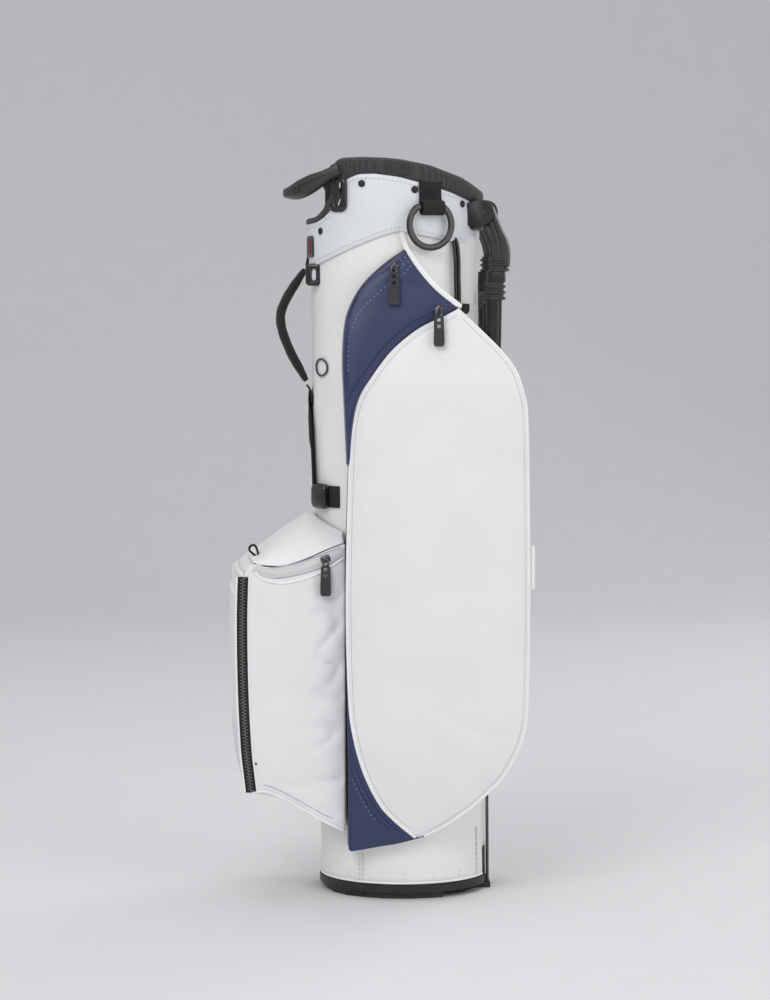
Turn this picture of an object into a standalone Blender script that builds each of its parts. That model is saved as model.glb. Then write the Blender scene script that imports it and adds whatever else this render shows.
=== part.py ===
"""Golf stand bag: a leaning oval trunk with a moulded base, a padded cuff, sewn pockets and a stand.

The design is written in millimetres and stored in metres. The origin is on the ground under the middle of
the base. +Z is up, +X points to the back of the bag, where the legs are, and -Y is the side with the large
pocket. Angles round the trunk are in degrees from +X towards +Y.
"""

import math

import bmesh
import bpy
from mathutils import Vector
from mathutils.bvhtree import BVHTree

MM = 0.001

# Trunk
TRUNK_RX = 100.0  # half width along X
TRUNK_RY = 90.0  # half width along Y
LEAN = 0.0165  # how far the centre line moves to -X for each millimetre of height
WALL = 2.5
ROUND_STEPS = 64  # steps in a full turn round the trunk

# Base
BAND_LOW = 7.5
BAND_TOP = 17.0
BAND_PROUD = 2.5
CUP_TOP = 55.0
CUP_WALL = (-5.3, -2.8)  # offsets from the trunk's outer face
FLAP_TOP = 6.8
FLAP_FRONT = -53.0
FLAP_BACK = 104.0
FLAP_PIVOT = Vector((42.0, 0.0, 11.0))
NOTCH_HALF = 30.0  # half width of the opening that the flap's tail rises through
NOTCH_TOP = 46.0

# Cuff: heights of its edges along X
COLLAR_TOP = ((-118, 805), (-102, 811), (-91, 821), (-85, 832), (-79, 853), (-59, 862),
              (-12, 858.6), (24, 849.5), (53, 841), (92, 826))
COLLAR_PEAK = 795.0
COLLAR_DROP_FRONT = 43.0
COLLAR_DROP_BACK = 18.0
CUFF_X = -13.2
CUFF_RX = 103.0
FRAME_LOW = 740.0
RIM_HEIGHT = 20.0
RIM_FRONT_X = -77.0
DIVIDER_TOP = 784.6

# Stand
LEG_PIVOT_X = 94.0
LEG_PIVOT_Y = 50.0
LEG_PIVOT_Z = 819.0
LEG_SPLAY = 20.0  # degrees between a leg's swing plane and +X
LEG_TUBE = (19.0, 15.0)
LEG_TOP = (11.0, -70.4)  # outward and up from the pivot
LEG_BOTTOM = (1.0, -672.0)
ROD_HINGE = (-5.0, 14.0, -104.0)  # outward, inward across the bag and up from the pivot
ROD_FOOT = (100.5, 22.0, 4.0)
ROD_RADIUS = 2.0
PIN_RADIUS = 3.0
PIN_GAP = 0.3

# Carrying
HANDLE_HINGE = Vector((-118.8, 0.0, 684.0))
STRAP_TOP = 750.0
STRAP_OFF = 11.0

# Pockets
PAIR_GAP = 0.6
POCKET_OFF = 2.2  # clearance to the trunk
BALL_HALF = 88.0
BALL_BACK = -78.0


def material(name, colour, roughness, metallic=0.0):
    made = bpy.data.materials.new(name)
    made.use_nodes = True
    shader = made.node_tree.nodes["Principled BSDF"]
    shader.inputs["Base Color"].default_value = (*colour, 1.0)
    shader.inputs["Roughness"].default_value = roughness
    shader.inputs["Metallic"].default_value = metallic
    return made


def clear_scene():
    for thing in list(bpy.data.objects):
        bpy.data.objects.remove(thing, do_unlink=True)


def make_object(name, points, faces, look, origin=(0, 0, 0), sharp=35):
    """A closed mesh from points in millimetres, with its origin at the given point."""
    base = Vector(origin)
    mesh = bmesh.new()
    verts = [mesh.verts.new((Vector(p) - base) * MM) for p in points]
    for face in faces:
        mesh.faces.new([verts[i] for i in face])
    big = [f for f in mesh.faces if len(f.verts) > 4]
    bmesh.ops.triangulate(mesh, faces=big)
    bmesh.ops.recalc_face_normals(mesh, faces=mesh.faces)
    data = bpy.data.meshes.new(name)
    mesh.to_mesh(data)
    mesh.free()
    data.shade_smooth()
    data.set_sharp_from_angle(angle=math.radians(sharp))
    data.materials.append(look)
    thing = bpy.data.objects.new(name, data)
    thing.location = base * MM
    bpy.context.scene.collection.objects.link(thing)
    return thing


def boolean(target, tool, operation="DIFFERENCE"):
    tool.hide_render = True
    tool.display_type = "WIRE"
    change = target.modifiers.new(operation.lower() + "_" + tool.name, "BOOLEAN")
    change.operation = operation
    change.object = tool
    return target


def loft(name, rings, look, origin=(0, 0, 0), closed=False, sharp=35):
    """Quads between rings of equal length, with the two ends filled or joined."""
    size = len(rings[0])
    points = [p for ring in rings for p in ring]
    faces = []
    last = len(rings) if closed else len(rings) - 1
    for i in range(last):
        a, b = i * size, (i + 1) % len(rings) * size
        for j in range(size):
            k = (j + 1) % size
            faces.append((a + j, a + k, b + k, b + j))
    if not closed:
        faces.append(tuple(range(size)))
        faces.append(tuple(len(points) - size + j for j in range(size)))
    return make_object(name, points, faces, look, origin, sharp)


def prism(name, low, high, look, origin=(0, 0, 0), sharp=35):
    return loft(name, [low, high], look, origin, sharp=sharp)


def box(name, low, high, look, origin=(0, 0, 0)):
    (x0, y0, z0), (x1, y1, z1) = low, high
    ring = [(x0, y0), (x1, y0), (x1, y1), (x0, y1)]
    return prism(name, [(x, y, z0) for x, y in ring], [(x, y, z1) for x, y in ring], look, origin)


def oval(width, height, count=12):
    turns = [2 * math.pi * i / count for i in range(count)]
    return [(width / 2 * math.cos(t), height / 2 * math.sin(t)) for t in turns]


def slab(width, height, corner, steps=3):
    """The outline of a rectangle with round corners."""
    made = []
    for quarter, (sx, sy) in enumerate(((1, 1), (-1, 1), (-1, -1), (1, -1))):
        cx, cy = sx * (width / 2 - corner), sy * (height / 2 - corner)
        for i in range(steps + 1):
            turn = math.pi / 2 * (quarter + i / steps)
            made.append((cx + corner * math.cos(turn), cy + corner * math.sin(turn)))
    return made


def spline(points, steps=4, closed=False):
    """A smooth curve through the points."""
    points = [Vector(p) for p in points]
    count = len(points)
    made = []
    for i in range(count if closed else count - 1):
        if closed:
            a, b, c, d = (points[(i + k) % count] for k in (-1, 0, 1, 2))
        else:
            a, b = points[max(i - 1, 0)], points[i]
            c, d = points[i + 1], points[min(i + 2, count - 1)]
        for step in range(steps):
            t = step / steps
            made.append(0.5 * (2 * b + (c - a) * t + (2 * a - 5 * b + 4 * c - d) * t * t
                               + (3 * b - 3 * c + d - a) * t ** 3))
    if not closed:
        made.append(points[-1])
    return made


def sweep(name, path, section, look, side=(0, 1, 0), origin=(0, 0, 0), closed=False, taper=None):
    """A section carried along a path. The section's first axis stays as near to side as it can."""
    path = [Vector(p) for p in path]
    count = len(path)
    rings = []
    for i, point in enumerate(path):
        ahead = path[(i + 1) % count] if closed or i + 1 < count else point
        behind = path[i - 1] if closed or i > 0 else point
        along = (ahead - behind).normalized()
        across = Vector(side) - along * along.dot(Vector(side))
        across.normalize()
        up = along.cross(across)
        size = taper(i / (count - 1)) if taper else 1.0
        rings.append([point + across * a * size + up * b * size for a, b in section])
    return loft(name, rings, look, origin, closed)


def rod(name, start, end, radius, look, origin=(0, 0, 0), count=16):
    along = (Vector(end) - Vector(start)).normalized()
    side = (0, 0, 1) if abs(along.z) < 0.7 else (1, 0, 0)
    return sweep(name, [start, end], oval(2 * radius, 2 * radius, count), look, side, origin)


def centre_x(z):
    return -LEAN * z


def trunk_point(turn, z, offset=0.0):
    angle = math.radians(turn)
    x = centre_x(z) + (TRUNK_RX + offset) * math.cos(angle)
    return Vector((x, (TRUNK_RY + offset) * math.sin(angle), z))


def trunk_frame(turn, z, offset=0.0):
    """A point on the trunk's face, with the directions along the face and out of it."""
    angle = math.radians(turn)
    out = Vector((TRUNK_RY * math.cos(angle), TRUNK_RX * math.sin(angle), 0)).normalized()
    return trunk_point(turn, z) + out * offset, Vector((-out.y, out.x, 0)), out


def read_height(points, x):
    """The height at x on the straight runs between the points."""
    if x <= points[0][0]:
        return points[0][1]
    for (x0, z0), (x1, z1) in zip(points, points[1:]):
        if x <= x1:
            return z0 + (z1 - z0) * (x - x0) / (x1 - x0)
    return points[-1][1]


def collar_top(turn):
    return read_height(COLLAR_TOP, CUFF_X + CUFF_RX * math.cos(math.radians(turn)))


def collar_bottom(turn):
    along = math.cos(math.radians(turn))
    if along < 0:
        return COLLAR_PEAK - COLLAR_DROP_FRONT * abs(along) ** 1.3
    return COLLAR_PEAK - COLLAR_DROP_BACK * along


def shell(name, start, end, offsets, bottom, top, look):
    """A curved wall round the trunk between two angles, with heights given by functions of the angle."""
    full = abs(end - start - 360) < 1e-6
    steps = max(1, round(abs(end - start) / 360 * ROUND_STEPS))
    turns = [start + (end - start) * i / steps for i in range(steps + (0 if full else 1))]
    inner, outer = offsets
    rings = [
        [
            trunk_point(t, bottom(t), inner),
            trunk_point(t, bottom(t), outer),
            trunk_point(t, top(t), outer),
            trunk_point(t, top(t), inner),
        ]
        for t in turns
    ]
    return loft(name, rings, look, closed=full)


def turned(name, profile, look, steps=ROUND_STEPS):
    """An oval turned solid. The profile is offsets from the trunk's face and heights, from the axis out."""
    low, high = profile[0][1], profile[-1][1]
    body = profile[1:-1]
    size = len(body)
    points, faces = [], []
    for i in range(steps):
        turn = 360 * i / steps
        points += [trunk_point(turn, z, offset) for offset, z in body]
    foot, crown = len(points), len(points) + 1
    points += [Vector((0, 0, low)), Vector((0, 0, high))]
    for i in range(steps):
        a, b = i * size, (i + 1) % steps * size
        for j in range(size - 1):
            faces.append((a + j, b + j, b + j + 1, a + j + 1))
        faces.append((a, foot, b))
        faces.append((a + size - 1, b + size - 1, crown))
    return make_object(name, points, faces, look)


def build_base(looks):
    black = looks["moulded_black"]
    inner, outer = CUP_WALL
    cup = turned("base_cup", [
        (0, 9.5), (-9.0, 9.5), (-6.0, BAND_LOW), (BAND_PROUD, BAND_LOW), (BAND_PROUD, BAND_TOP),
        (outer, BAND_TOP), (outer, CUP_TOP), (inner, CUP_TOP), (inner, 13.5), (0, 13.5)], black)
    ramp = prism("ramp", *[[(x, y, z) for x, z in ((30, 12), (94, 12), (94, 50), (78, 50), (30, 20))]
                           for y in (-80, 80)], black)
    keep = turned("ramp_limit", [(0, 8), (-4.0, 8), (-4.0, 54), (0, 54)], black)
    boolean(ramp, keep, "INTERSECT")
    boolean(cup, ramp, "UNION")
    hollow = ((43, 0), (120, 0), (120, NOTCH_TOP), (98, 42.5), (43, 9.7))
    recess = prism("recess", *[[(x, y, z) for x, z in hollow] for y in (-62, 62)], black)
    reach = turned("recess_limit", [(0, -4), (-9.0, -4), (-9.0, 60), (0, 60)], black)
    boolean(recess, reach, "INTERSECT")
    boolean(cup, recess)
    notch = box("notch", (80, -NOTCH_HALF, 0), (120, NOTCH_HALF, 33), black)
    boolean(cup, notch)
    notch_top = box("notch_top", (88, -NOTCH_HALF, 20), (120, NOTCH_HALF, NOTCH_TOP), black)
    boolean(cup, notch_top)
    px, _, pz = FLAP_PIVOT
    boolean(cup, rod("pivot_bore", (px, -57, pz), (px, 57, pz), 2.4, black))
    for y in (-30, 30):
        boolean(cup, box("boss_pocket", (px - 8, y - 11, 0), (px + 8, y + 11, 17), black))

    front = [(FLAP_FRONT, -74), (-30, -84.5), (0, -88), (30, -84), (41, -80.5)]
    tail = [(36, -56), (60, -55), (72, -45.5), (80, -34), (84, -27), (FLAP_BACK, -26)]

    def plate(name, half, top):
        outline = half + [(x, -y) for x, y in reversed(half)]
        return prism(name, [(x, y, 0) for x, y in outline], [(x, y, top) for x, y in outline],
                     looks["flap_grey"], FLAP_PIVOT)

    flap = plate("base_flap", front, FLAP_TOP)
    boolean(flap, plate("flap_tail", tail, FLAP_TOP), "UNION")
    for y in (-30, 30):
        boss = rod("boss", (px, y - 10, pz), (px, y + 10, pz), 4.6, black)
        boolean(flap, boss, "UNION")
        web = box("boss_web", (px - 3.5, y - 10, 4), (px + 3.5, y + 10, pz), black)
        boolean(flap, web, "UNION")
    boolean(flap, rod("flap_bore", (px, -60, pz), (px, 60, pz), 2.4, black))
    for side in (-1, 1):
        y = side * ROD_FOOT[1]
        boolean(flap, box("rod_slot", (86, y - 3.8, -5), (120, y + 3.8, 20), black))
    front_pad = [(-53.6, -74), (-74, -60), (-88, -38), (-94, 0)]
    outline = front_pad + [(x, -y) for x, y in reversed(front_pad[:-1])]
    pad = prism("front_foot", [(x, y, 0) for x, y in outline],
                [(x, y, BAND_LOW + 3) for x, y in outline], black)
    boolean(cup, pad, "UNION")
    rod("flap_hinge_pin", (px, -56, pz), (px, 56, pz), 2.1, looks["steel"], count=12)


def build_trunk(looks):
    def low(_turn):
        return BAND_TOP + 0.4

    def low_back(turn):
        return NOTCH_TOP + 2 if abs(trunk_point(turn, 0).y) < NOTCH_HALF + 2 else low(turn)

    def high(turn):
        return collar_top(turn) - 3

    for name, middle in (("front", 180), ("rear", 0), ("near", 270), ("far", 90)):
        shell("trunk_panel_" + name, middle - 44.9, middle + 44.9, (-WALL, 0.0),
              low_back if name == "rear" else low, high, looks["white_fabric"])

    def cross(z, arm_x, arm_y, half):
        cx = centre_x(z) - 3
        return [(cx + arm_x, -half, z), (cx + arm_x, half, z), (cx + half, half, z), (cx + half, arm_y, z),
                (cx - half, arm_y, z), (cx - half, half, z), (cx - arm_x, half, z), (cx - arm_x, -half, z),
                (cx - half, -half, z), (cx - half, -arm_y, z), (cx + half, -arm_y, z), (cx + half, -half, z)]

    def cross_wall(name, low, high, arm_x, arm_y, half, look):
        caps = ((0, 1, 2, 11), (2, 3, 4, 5), (5, 6, 7, 8), (8, 9, 10, 11), (2, 5, 8, 11))
        faces = [tuple(i + shift for i in cap) for cap in caps for shift in (0, 12)]
        faces += [(i, (i + 1) % 12, (i + 1) % 12 + 12, i + 12) for i in range(12)]
        make_object(name, cross(low, arm_x, arm_y, half) + cross(high, arm_x, arm_y, half), faces, look)

    cross_wall("full_length_dividers", 60, DIVIDER_TOP, 87, 79, 0.8, looks["lining"])
    cross_wall("divider_frame", DIVIDER_TOP + 0.4, DIVIDER_TOP + 14, 89, 82, 5, looks["moulded_black"])
    for index, turn in enumerate((68, 180 + 14, 292)):
        start, end = trunk_point(turn, CUP_TOP + 0.4, -5.7), trunk_point(turn, FRAME_LOW - 0.4, -5.7)
        rod(f"stay_rod_{index + 1}", start, end, 2.5, looks["glass_fibre"], count=8)


def build_cuff(looks):
    black = looks["moulded_black"]
    shell("cuff_frame", 0, 360, (-5.6, -3.0), lambda t: FRAME_LOW, lambda t: collar_top(t) - 2, black)
    shell("cuff_collar", 0, 360, (0.6, 3.3), collar_bottom, collar_top, looks["white_leather"])

    end = math.degrees(math.acos((RIM_FRONT_X - CUFF_X) / CUFF_RX))
    steps = 40
    rings = []
    for i in range(steps + 1):
        turn = -end + 2 * end * i / steps
        floor = collar_top(turn) + 0.5
        ring = []
        for a, b in slab(16.0, RIM_HEIGHT, 6.0):
            ring.append(trunk_point(turn, floor + RIM_HEIGHT / 2 + b, a - 3.5))
        rings.append(ring)
    loft("rim_pad", rings, looks["mesh_black"])

    grip = spline([(-91, -67, 864), (-112, -62, 858), (-131, -45, 851), (-139, -20, 848), (-140, 0, 848),
                   (-139, 20, 848), (-131, 45, 851), (-112, 62, 858), (-91, 67, 864)], 3)
    sweep("lift_handle", grip, slab(13.0, 17.0, 5.0, 2), looks["handle_grey"], side=(0, 0, 1))

    for name, turn in (("near", 226.5), ("far", 133.5)):
        sign = -1 if name == "near" else 1
        turns = [turn - 6 * sign, turn, turn + 6 * sign]
        low = [trunk_point(t, 814, o) for o in (3.7, 9.5) for t in (turns if o < 5 else turns[::-1])]
        high = [trunk_point(t, 853, o) for o in (3.7, 9.5) for t in (turns if o < 5 else turns[::-1])]
        prism("handle_clip_" + name, low, high, black)

    shell("cuff_badge", 192, 206, (3.7, 5.4), lambda t: 768, lambda t: 790, looks["badge_red"])

    for index, (x, z) in enumerate(((-55.5, 851), (6.2, 844), (64.6, 828), (-102.5, 796))):
        turn = -math.degrees(math.acos((x - CUFF_X) / CUFF_RX))
        foot, _, out = trunk_frame(turn, z, 3.6)
        rod(f"cuff_rivet_{index + 1}", foot, foot + out * 1.8, 4.2, black, count=12)

    foot, along, out = trunk_frame(291.0, 812, 0)
    hinge = foot + out * 11.5 + Vector((0, 0, 11))
    tab = [(3.8, 851), (6.5, 851), (8.5, 831), (15.5, 830), (16.6, 823), (14, 817.5), (8, 817.5), (3.8, 823)]
    sides = []
    for across in (-11.3, 11.3):
        sides.append([foot + along * across + out * o + Vector((0, 0, z - 812)) for o, z in tab])
    ring_tab = prism("ring_tab", *sides, looks["webbing"])
    boolean(ring_tab, rod("bar_bore", hinge - along * 20, hinge + along * 20, 3.6, black))
    slot = [hinge + along * x + out * o + Vector((0, 0, z)) for x in (-20, 20) for o, z in
            ((-2.4, -12), (2.4, -12), (2.4, 0), (-2.4, 0))]
    boolean(ring_tab, prism("bar_slot", slot[:4], slot[4:], black))
    middle = hinge + Vector((0, 0, -20.2))
    loop = []
    for i in range(32):
        turn = 2 * math.pi * i / 32
        z = 24.2 * math.sin(turn)
        loop.append(middle + along * 24.2 * math.cos(turn) + Vector((0, 0, min(z, 20.2))))
    sweep("towel_ring", loop, slab(4.6, 5.6, 1.8, 2), looks["gloss_black"], side=out, origin=hinge,
          closed=True)


def leg_frame(side):
    """The pivot of one leg and its directions: outward, across towards the middle of the bag, and up."""
    splay = math.radians(LEG_SPLAY)
    pivot = Vector((LEG_PIVOT_X, side * LEG_PIVOT_Y, LEG_PIVOT_Z))
    outward = Vector((math.cos(splay), side * math.sin(splay), 0))
    across = Vector((math.sin(splay), -side * math.cos(splay), 0))
    return pivot, outward, across


def build_stand(looks):
    black = looks["moulded_black"]
    bracket = shell("leg_bracket", -46, 46, (3.7, 8.5), lambda t: 797, lambda t: 823, black)
    hug = turned("bracket_hug", [(0, 780), (3.7, 780), (3.7, 824.5), (6.2, 824.5), (6.2, 860), (0, 860)],
                 black)
    ears = []
    for name, side in (("near", -1), ("far", 1)):
        pivot, outward, across = leg_frame(side)

        def place(u, a, z, pivot=pivot, outward=outward, across=across):
            return pivot + outward * u + across * a + Vector((0, 0, z))

        for low, high in ((-11.5, -7.6), (7.6, 11.5)):
            outline = [(-23, 9), (-8, 14), (4, 13), (11, 6), (12, -4), (7, -13), (-6, -17), (-23, -17)]
            ear = prism("ear", [place(u, low, z) for u, z in outline],
                        [place(u, high, z) for u, z in outline], black)
            ears.append(ear)
            boolean(bracket, ear, "UNION")
        boolean(bracket, rod("ear_bore", place(0, -20, 0), place(0, 20, 0), PIN_RADIUS + PIN_GAP, black))

        arm = [(-9, 6), (-3, 10.5), (5, 9.5), (11, 2), (17, -14), (26, -32), (29, -48), (28, -70), (3, -70),
               (2, -50), (-1, -38), (-9, -20), (-11, -4)]
        knuckle = prism("leg_knuckle_" + name, [place(u, -7, z) for u, z in arm],
                        [place(u, 7, z) for u, z in arm], looks["handle_grey"], pivot)
        boolean(knuckle, rod("knuckle_bore", place(0, -20, 0), place(0, 20, 0), PIN_RADIUS + PIN_GAP, black))
        rod("leg_pin_" + name, place(0, -12.6, 0), place(0, 12.6, 0), PIN_RADIUS, looks["steel"], count=12)

        (u0, z0), (u1, z1) = LEG_TOP, LEG_BOTTOM
        tube_path = [place(u0, 0, z0), place(u1, 0, z1)]
        sweep("leg_tube_" + name, tube_path, oval(*LEG_TUBE, 16), black, side=outward, origin=pivot)
        clear = [place(u0 + (u1 - u0) * -0.1, 0, z0 + (z1 - z0) * -0.1), tube_path[1]]
        wide = oval(LEG_TUBE[0] + 0.8, LEG_TUBE[1] + 0.8, 16)
        clearance = sweep("tube_room_" + name, clear, wide, black, side=outward)

        ring = slab(26, 21, 6, 2)
        collar = prism("leg_collar_" + name, [place(10.5 + a, b, -105) for a, b in ring],
                       [place(10.9 + a, b, -84) for a, b in ring], looks["handle_grey"], pivot)
        uh, ah, zh = ROD_HINGE
        lug = [(uh - 5, zh - 4.6), (uh + 9, zh - 0.9), (uh + 9, zh + 10), (uh, zh + 8), (uh - 5, zh + 4)]
        lug_end = ah - ROD_RADIUS - 0.6
        lug_body = prism("rod_lug", [place(u, 6, z) for u, z in lug], [place(u, lug_end, z) for u, z in lug],
                         black)
        boolean(collar, lug_body, "UNION")
        boolean(collar, clearance)
        boolean(collar, rod("lug_bore", place(uh, 0, zh), place(uh, 20, zh), ROD_RADIUS + PIN_GAP, black))

        foot_rings = []
        for z, scale in ((-640, 0.86), (-652, 1.0), (-680, 1.0), (-688, 0.8)):
            foot_rings.append([place(1.3 + a * scale, b * scale, z) for a, b in oval(25, 19.6, 16)])
        foot = loft("leg_foot_" + name, foot_rings, looks["rubber"], pivot)
        boolean(foot, clearance)

        top = place(uh, ah - 6.8, zh)
        bend = place(uh, ah, zh)
        down = Vector((ROD_FOOT[0], side * ROD_FOOT[1], ROD_FOOT[2]))
        fall = (down - bend).normalized()
        aside = (bend - top).normalized()
        path = [top, bend - aside * 2.5, bend + fall * 0.8 - aside * 0.8, bend + fall * 3.0, down]
        sweep("actuator_rod_" + name, path, oval(2 * ROD_RADIUS, 2 * ROD_RADIUS, 8), looks["steel"],
              side=outward, origin=top)
    boolean(bracket, hug)


def inner_face(x, z):
    """How far the trunk or the swinging leg reaches towards -Y at this place."""
    along = max(-0.999, min(0.999, (x - centre_x(z)) / TRUNK_RX))
    trunk = TRUNK_RY * math.sqrt(1 - along * along) + POCKET_OFF
    leg = 62.5 + 0.40 * (x - LEG_PIVOT_X) if x > 40 else 0
    return -max(trunk, leg)


def resample(points, count):
    """Points at equal distances along a smooth curve."""
    curve = spline(points, 6)
    lengths = [0.0]
    for a, b in zip(curve, curve[1:]):
        lengths.append(lengths[-1] + (b - a).length)
    made, j = [], 0
    for i in range(count):
        want = lengths[-1] * i / (count - 1)
        while j < len(curve) - 2 and lengths[j + 1] < want:
            j += 1
        part = (want - lengths[j]) / (lengths[j + 1] - lengths[j])
        made.append(curve[j].lerp(curve[j + 1], part))
    return made


def side_pocket(name, left, right, bulge, look, rows=18, columns=8):
    """A pocket on the -Y side between two edges, which run from its top to its bottom."""
    left, right = resample(left, rows), resample(right, rows)
    back, front = [], []
    for i, (a, b) in enumerate(zip(left, right)):
        if (b - a).length < 2:
            middle = (a + b) / 2
            a, b = middle + Vector((-1, 0.3)), middle + Vector((1, -0.3))
        swell = bulge * math.sin(math.pi * (i + 0.4) / (rows - 0.2)) ** 0.6
        back_row, front_row = [], []
        for j in range(columns + 1):
            t = j / columns
            x, z = a.lerp(b, t)
            fade = min(1.0, max(0.0, (782 - z) / 160), max(0.0, (z - 20) / 160)) ** 0.7
            edge = -(94 + 18 * fade) - 0.06 * x
            back_row.append(Vector((x, inner_face(x, z), z)))
            front_row.append(Vector((x, edge - swell * (1 - (2 * t - 1) ** 4), z)))
        back.append(back_row)
        front.append(front_row)
    rings = [b + f[::-1] for b, f in zip(back, front)]
    size = 2 * (columns + 1)
    points = [p for ring in rings for p in ring]
    faces = []
    for i in range(rows - 1):
        a, b = i * size, (i + 1) * size
        for j in range(size):
            k = (j + 1) % size
            faces.append((a + j, a + k, b + k, b + j))
    for start in (0, (rows - 1) * size):
        for j in range(columns):
            faces.append((start + j, start + j + 1, start + size - 2 - j, start + size - 1 - j))
    return make_object(name, points, faces, look)


def build_side_pockets(looks):
    shared = [(56, 703), (39, 694), (10, 680), (-20, 656), (-43, 627), (-60, 598), (-68, 563), (-71.5, 520)]
    outer = [(-6, 773), (-30, 756), (-54, 734), (-69, 709), (-76, 684), (-78, 642), (-77, 600), (-73.5, 520)]
    top_edge = [(-6, 773), (10, 749), (30, 726), (51, 709)]
    inner = [*top_edge, (54.5, 704.5), *[(x - 1, z + 1.5) for x, z in shared[1:]]]
    valuables = side_pocket("valuables_pocket", [Vector(p) for p in outer], [Vector(p) for p in inner], 6,
                            looks["navy_fabric"])
    left = [*shared, (-74, 440), (-76, 363), (-74.5, 245), (-73, 150), (-72, 62)]
    right = [(56, 703), (80, 680), (104, 656), (122, 632), (132, 603), (136, 574), (138, 470), (139, 361),
             (138, 266), (136, 219), (129, 189), (111, 153), (93, 133), (70, 112), (40, 91), (16, 79),
             (-14, 71), (-37, 67), (-71, 61)]
    apparel = side_pocket("apparel_pocket", [Vector(p) for p in left], [Vector(p) for p in right], 16,
                          looks["white_fabric"], rows=24)
    return {"valuables": valuables, "apparel": apparel}


def ball_back(y, z):
    """The pocket's back edge: the trunk's front face, and a straight edge beside it."""
    along = min(0.999, abs(y) / TRUNK_RY)
    face = centre_x(z) - TRUNK_RX * math.sqrt(1 - along * along) - POCKET_OFF - 1
    return min(face, BALL_BACK)


def build_ball_pocket(looks):
    seam_x = (-184, -172, -150, -125, -100)
    seam_z = (403, 400, 399.5, 407, 418)
    lid_z = (409, 421, 437, 449, 459)
    pocket, lid = [], []
    for y in (-88, -80, -62, -48, -26, 0, 26, 48, 62, 80, 88):
        share = 1 - (y / BALL_HALF) ** 2
        bulge, rise = 8 * share ** 0.6, 4 * share
        base = [(ball_back(y, 84), 84), (-104, 96), (-131, 112), (-166, 130 - 12 * share),
                (-188, 131 - 10 * share)]
        front = [(-197, 180), (-201, 241), (-203, 300), (-202.5, 350), (-199, 382 - 4 * share)]
        base[3:] = [(x - bulge * 0.8, z) for x, z in base[3:]]
        seam = [(min(x - bulge * 0.6 * (1 if x < -170 else 0), ball_back(y, z) - 1 - i * 0.01), z + rise)
                for i, (x, z) in enumerate(zip(seam_x, seam_z))]
        seam.append((ball_back(y, 426 + rise), 426 + rise))
        back = [(ball_back(y, z), z) for z in (340, 260, 170)]
        ring = base + [(x - bulge, z) for x, z in front] + seam + back
        pocket.append([Vector((x, y, z)) for x, z in ring])
        crown = []
        for (x, z), top in zip(seam, lid_z):
            crown.append((x, z + 2 + (top - z) * share ** 0.7))
        back_x = ball_back(y, 460)
        crown.append((back_x, seam[-1][1] + 2 + 30 * share ** 0.7))
        under = [(x, z + PAIR_GAP) for x, z in seam]
        lid.append([Vector((x, y, z)) for x, z in under + crown[::-1]])
    loft("accessory_pocket", lid, looks["white_fabric"])
    return loft("ball_pocket", pocket, looks["white_fabric"])


def near_face(pockets, x, z):
    """The nearest place of the pockets' side that faces -Y, and the direction out of it."""
    hits = []
    for pocket in pockets:
        data = pocket.data
        tree = BVHTree.FromPolygons([v.co for v in data.vertices], [f.vertices for f in data.polygons])
        place, out, _, _ = tree.ray_cast(Vector((x * MM, -0.4, z * MM)), Vector((0, 1, 0)))
        if place:
            hits.append((place.y, place / MM, out))
    return min(hits, key=lambda hit: hit[0])[1:]


def zip_parts(name, pockets, start, end, lift, length, looks, far=False):
    """A slider on a pocket's side, at the start of its run, and the puller that hangs from it.

    With far set, the pair is on the opposite side of the pocket.
    """
    place, out = near_face(pockets[:1], *start)
    finish, _ = near_face(pockets[:1], *end)
    along = (finish - place).normalized()
    out = (out - along * out.dot(along)).normalized()
    place = place + out * lift
    side = along.cross(out).normalized()
    foot = [(-5.5, -3.8), (5.5, -3.8), (5.5, 3.8), (-5.5, 3.8)]
    low = [place + along * a + side * b for a, b in foot]
    high = [place + along * a * 0.9 + side * b * 0.8 + out * 3.4 for a, b in foot]
    turn = Vector((1, -1, 1)) if far else Vector((1, 1, 1))
    prism(name + "_slider", [p * turn for p in low], [p * turn for p in high],
          looks["gloss_black"], place * turn)
    hinge = place + out * 6.8
    rest, rest_out = near_face(pockets, hinge.x, hinge.z - length)
    hang = (rest + rest_out * (lift + 4.6) - hinge).normalized()
    across = Vector((0, 0, 1)).cross(out).normalized()
    thick = across.cross(hang).normalized()
    half = [(3.6, -2.0), (3.6, 8), (5.6, 12), (6.4, length - 3), (5.2, length)]
    outline = half + [(-a, b) for a, b in reversed(half)]
    sides = [[(hinge + across * a + hang * b + thick * t) * turn for a, b in outline] for t in (-1.4, 1.4)]
    prism(name + "_puller", *sides, looks["rubber"], hinge * turn)


def build_zips(pockets, looks):
    zip_parts("valuables", [pockets["valuables"]], (-19, 753), (-47, 724), 1.2, 44, looks)
    zip_parts("apparel", [pockets["valuables"], pockets["apparel"]], (32, 704), (4, 686), 1.6, 42, looks)
    zip_parts("ball", [pockets["ball"]], (-196.5, 372), (-198, 262), 3.2, 34, looks, far=True)
    zip_parts("accessory", [pockets["ball"]], (-100, 409), (-148, 390), 1.2, 42, looks)

    track = [[(x0, -88.4, z), (x0 + 13, -88.4, z), (x0 + 13, -90.4, z), (x0, -90.4, z)]
             for x0, z in ((-196.5, 134), (-201.5, 181), (-204, 235), (-205.3, 288),
                           (-205.5, 342), (-204, 387))]
    loft("ball_zip", track, looks["zip_black"])

    band = [trunk_point(-49, 774 - 16 * i, 8.5) for i in range(5)]
    sweep("elastic_band", band, oval(6.4, 6.4, 8), looks["webbing"], side=(1, 0, 0))


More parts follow.
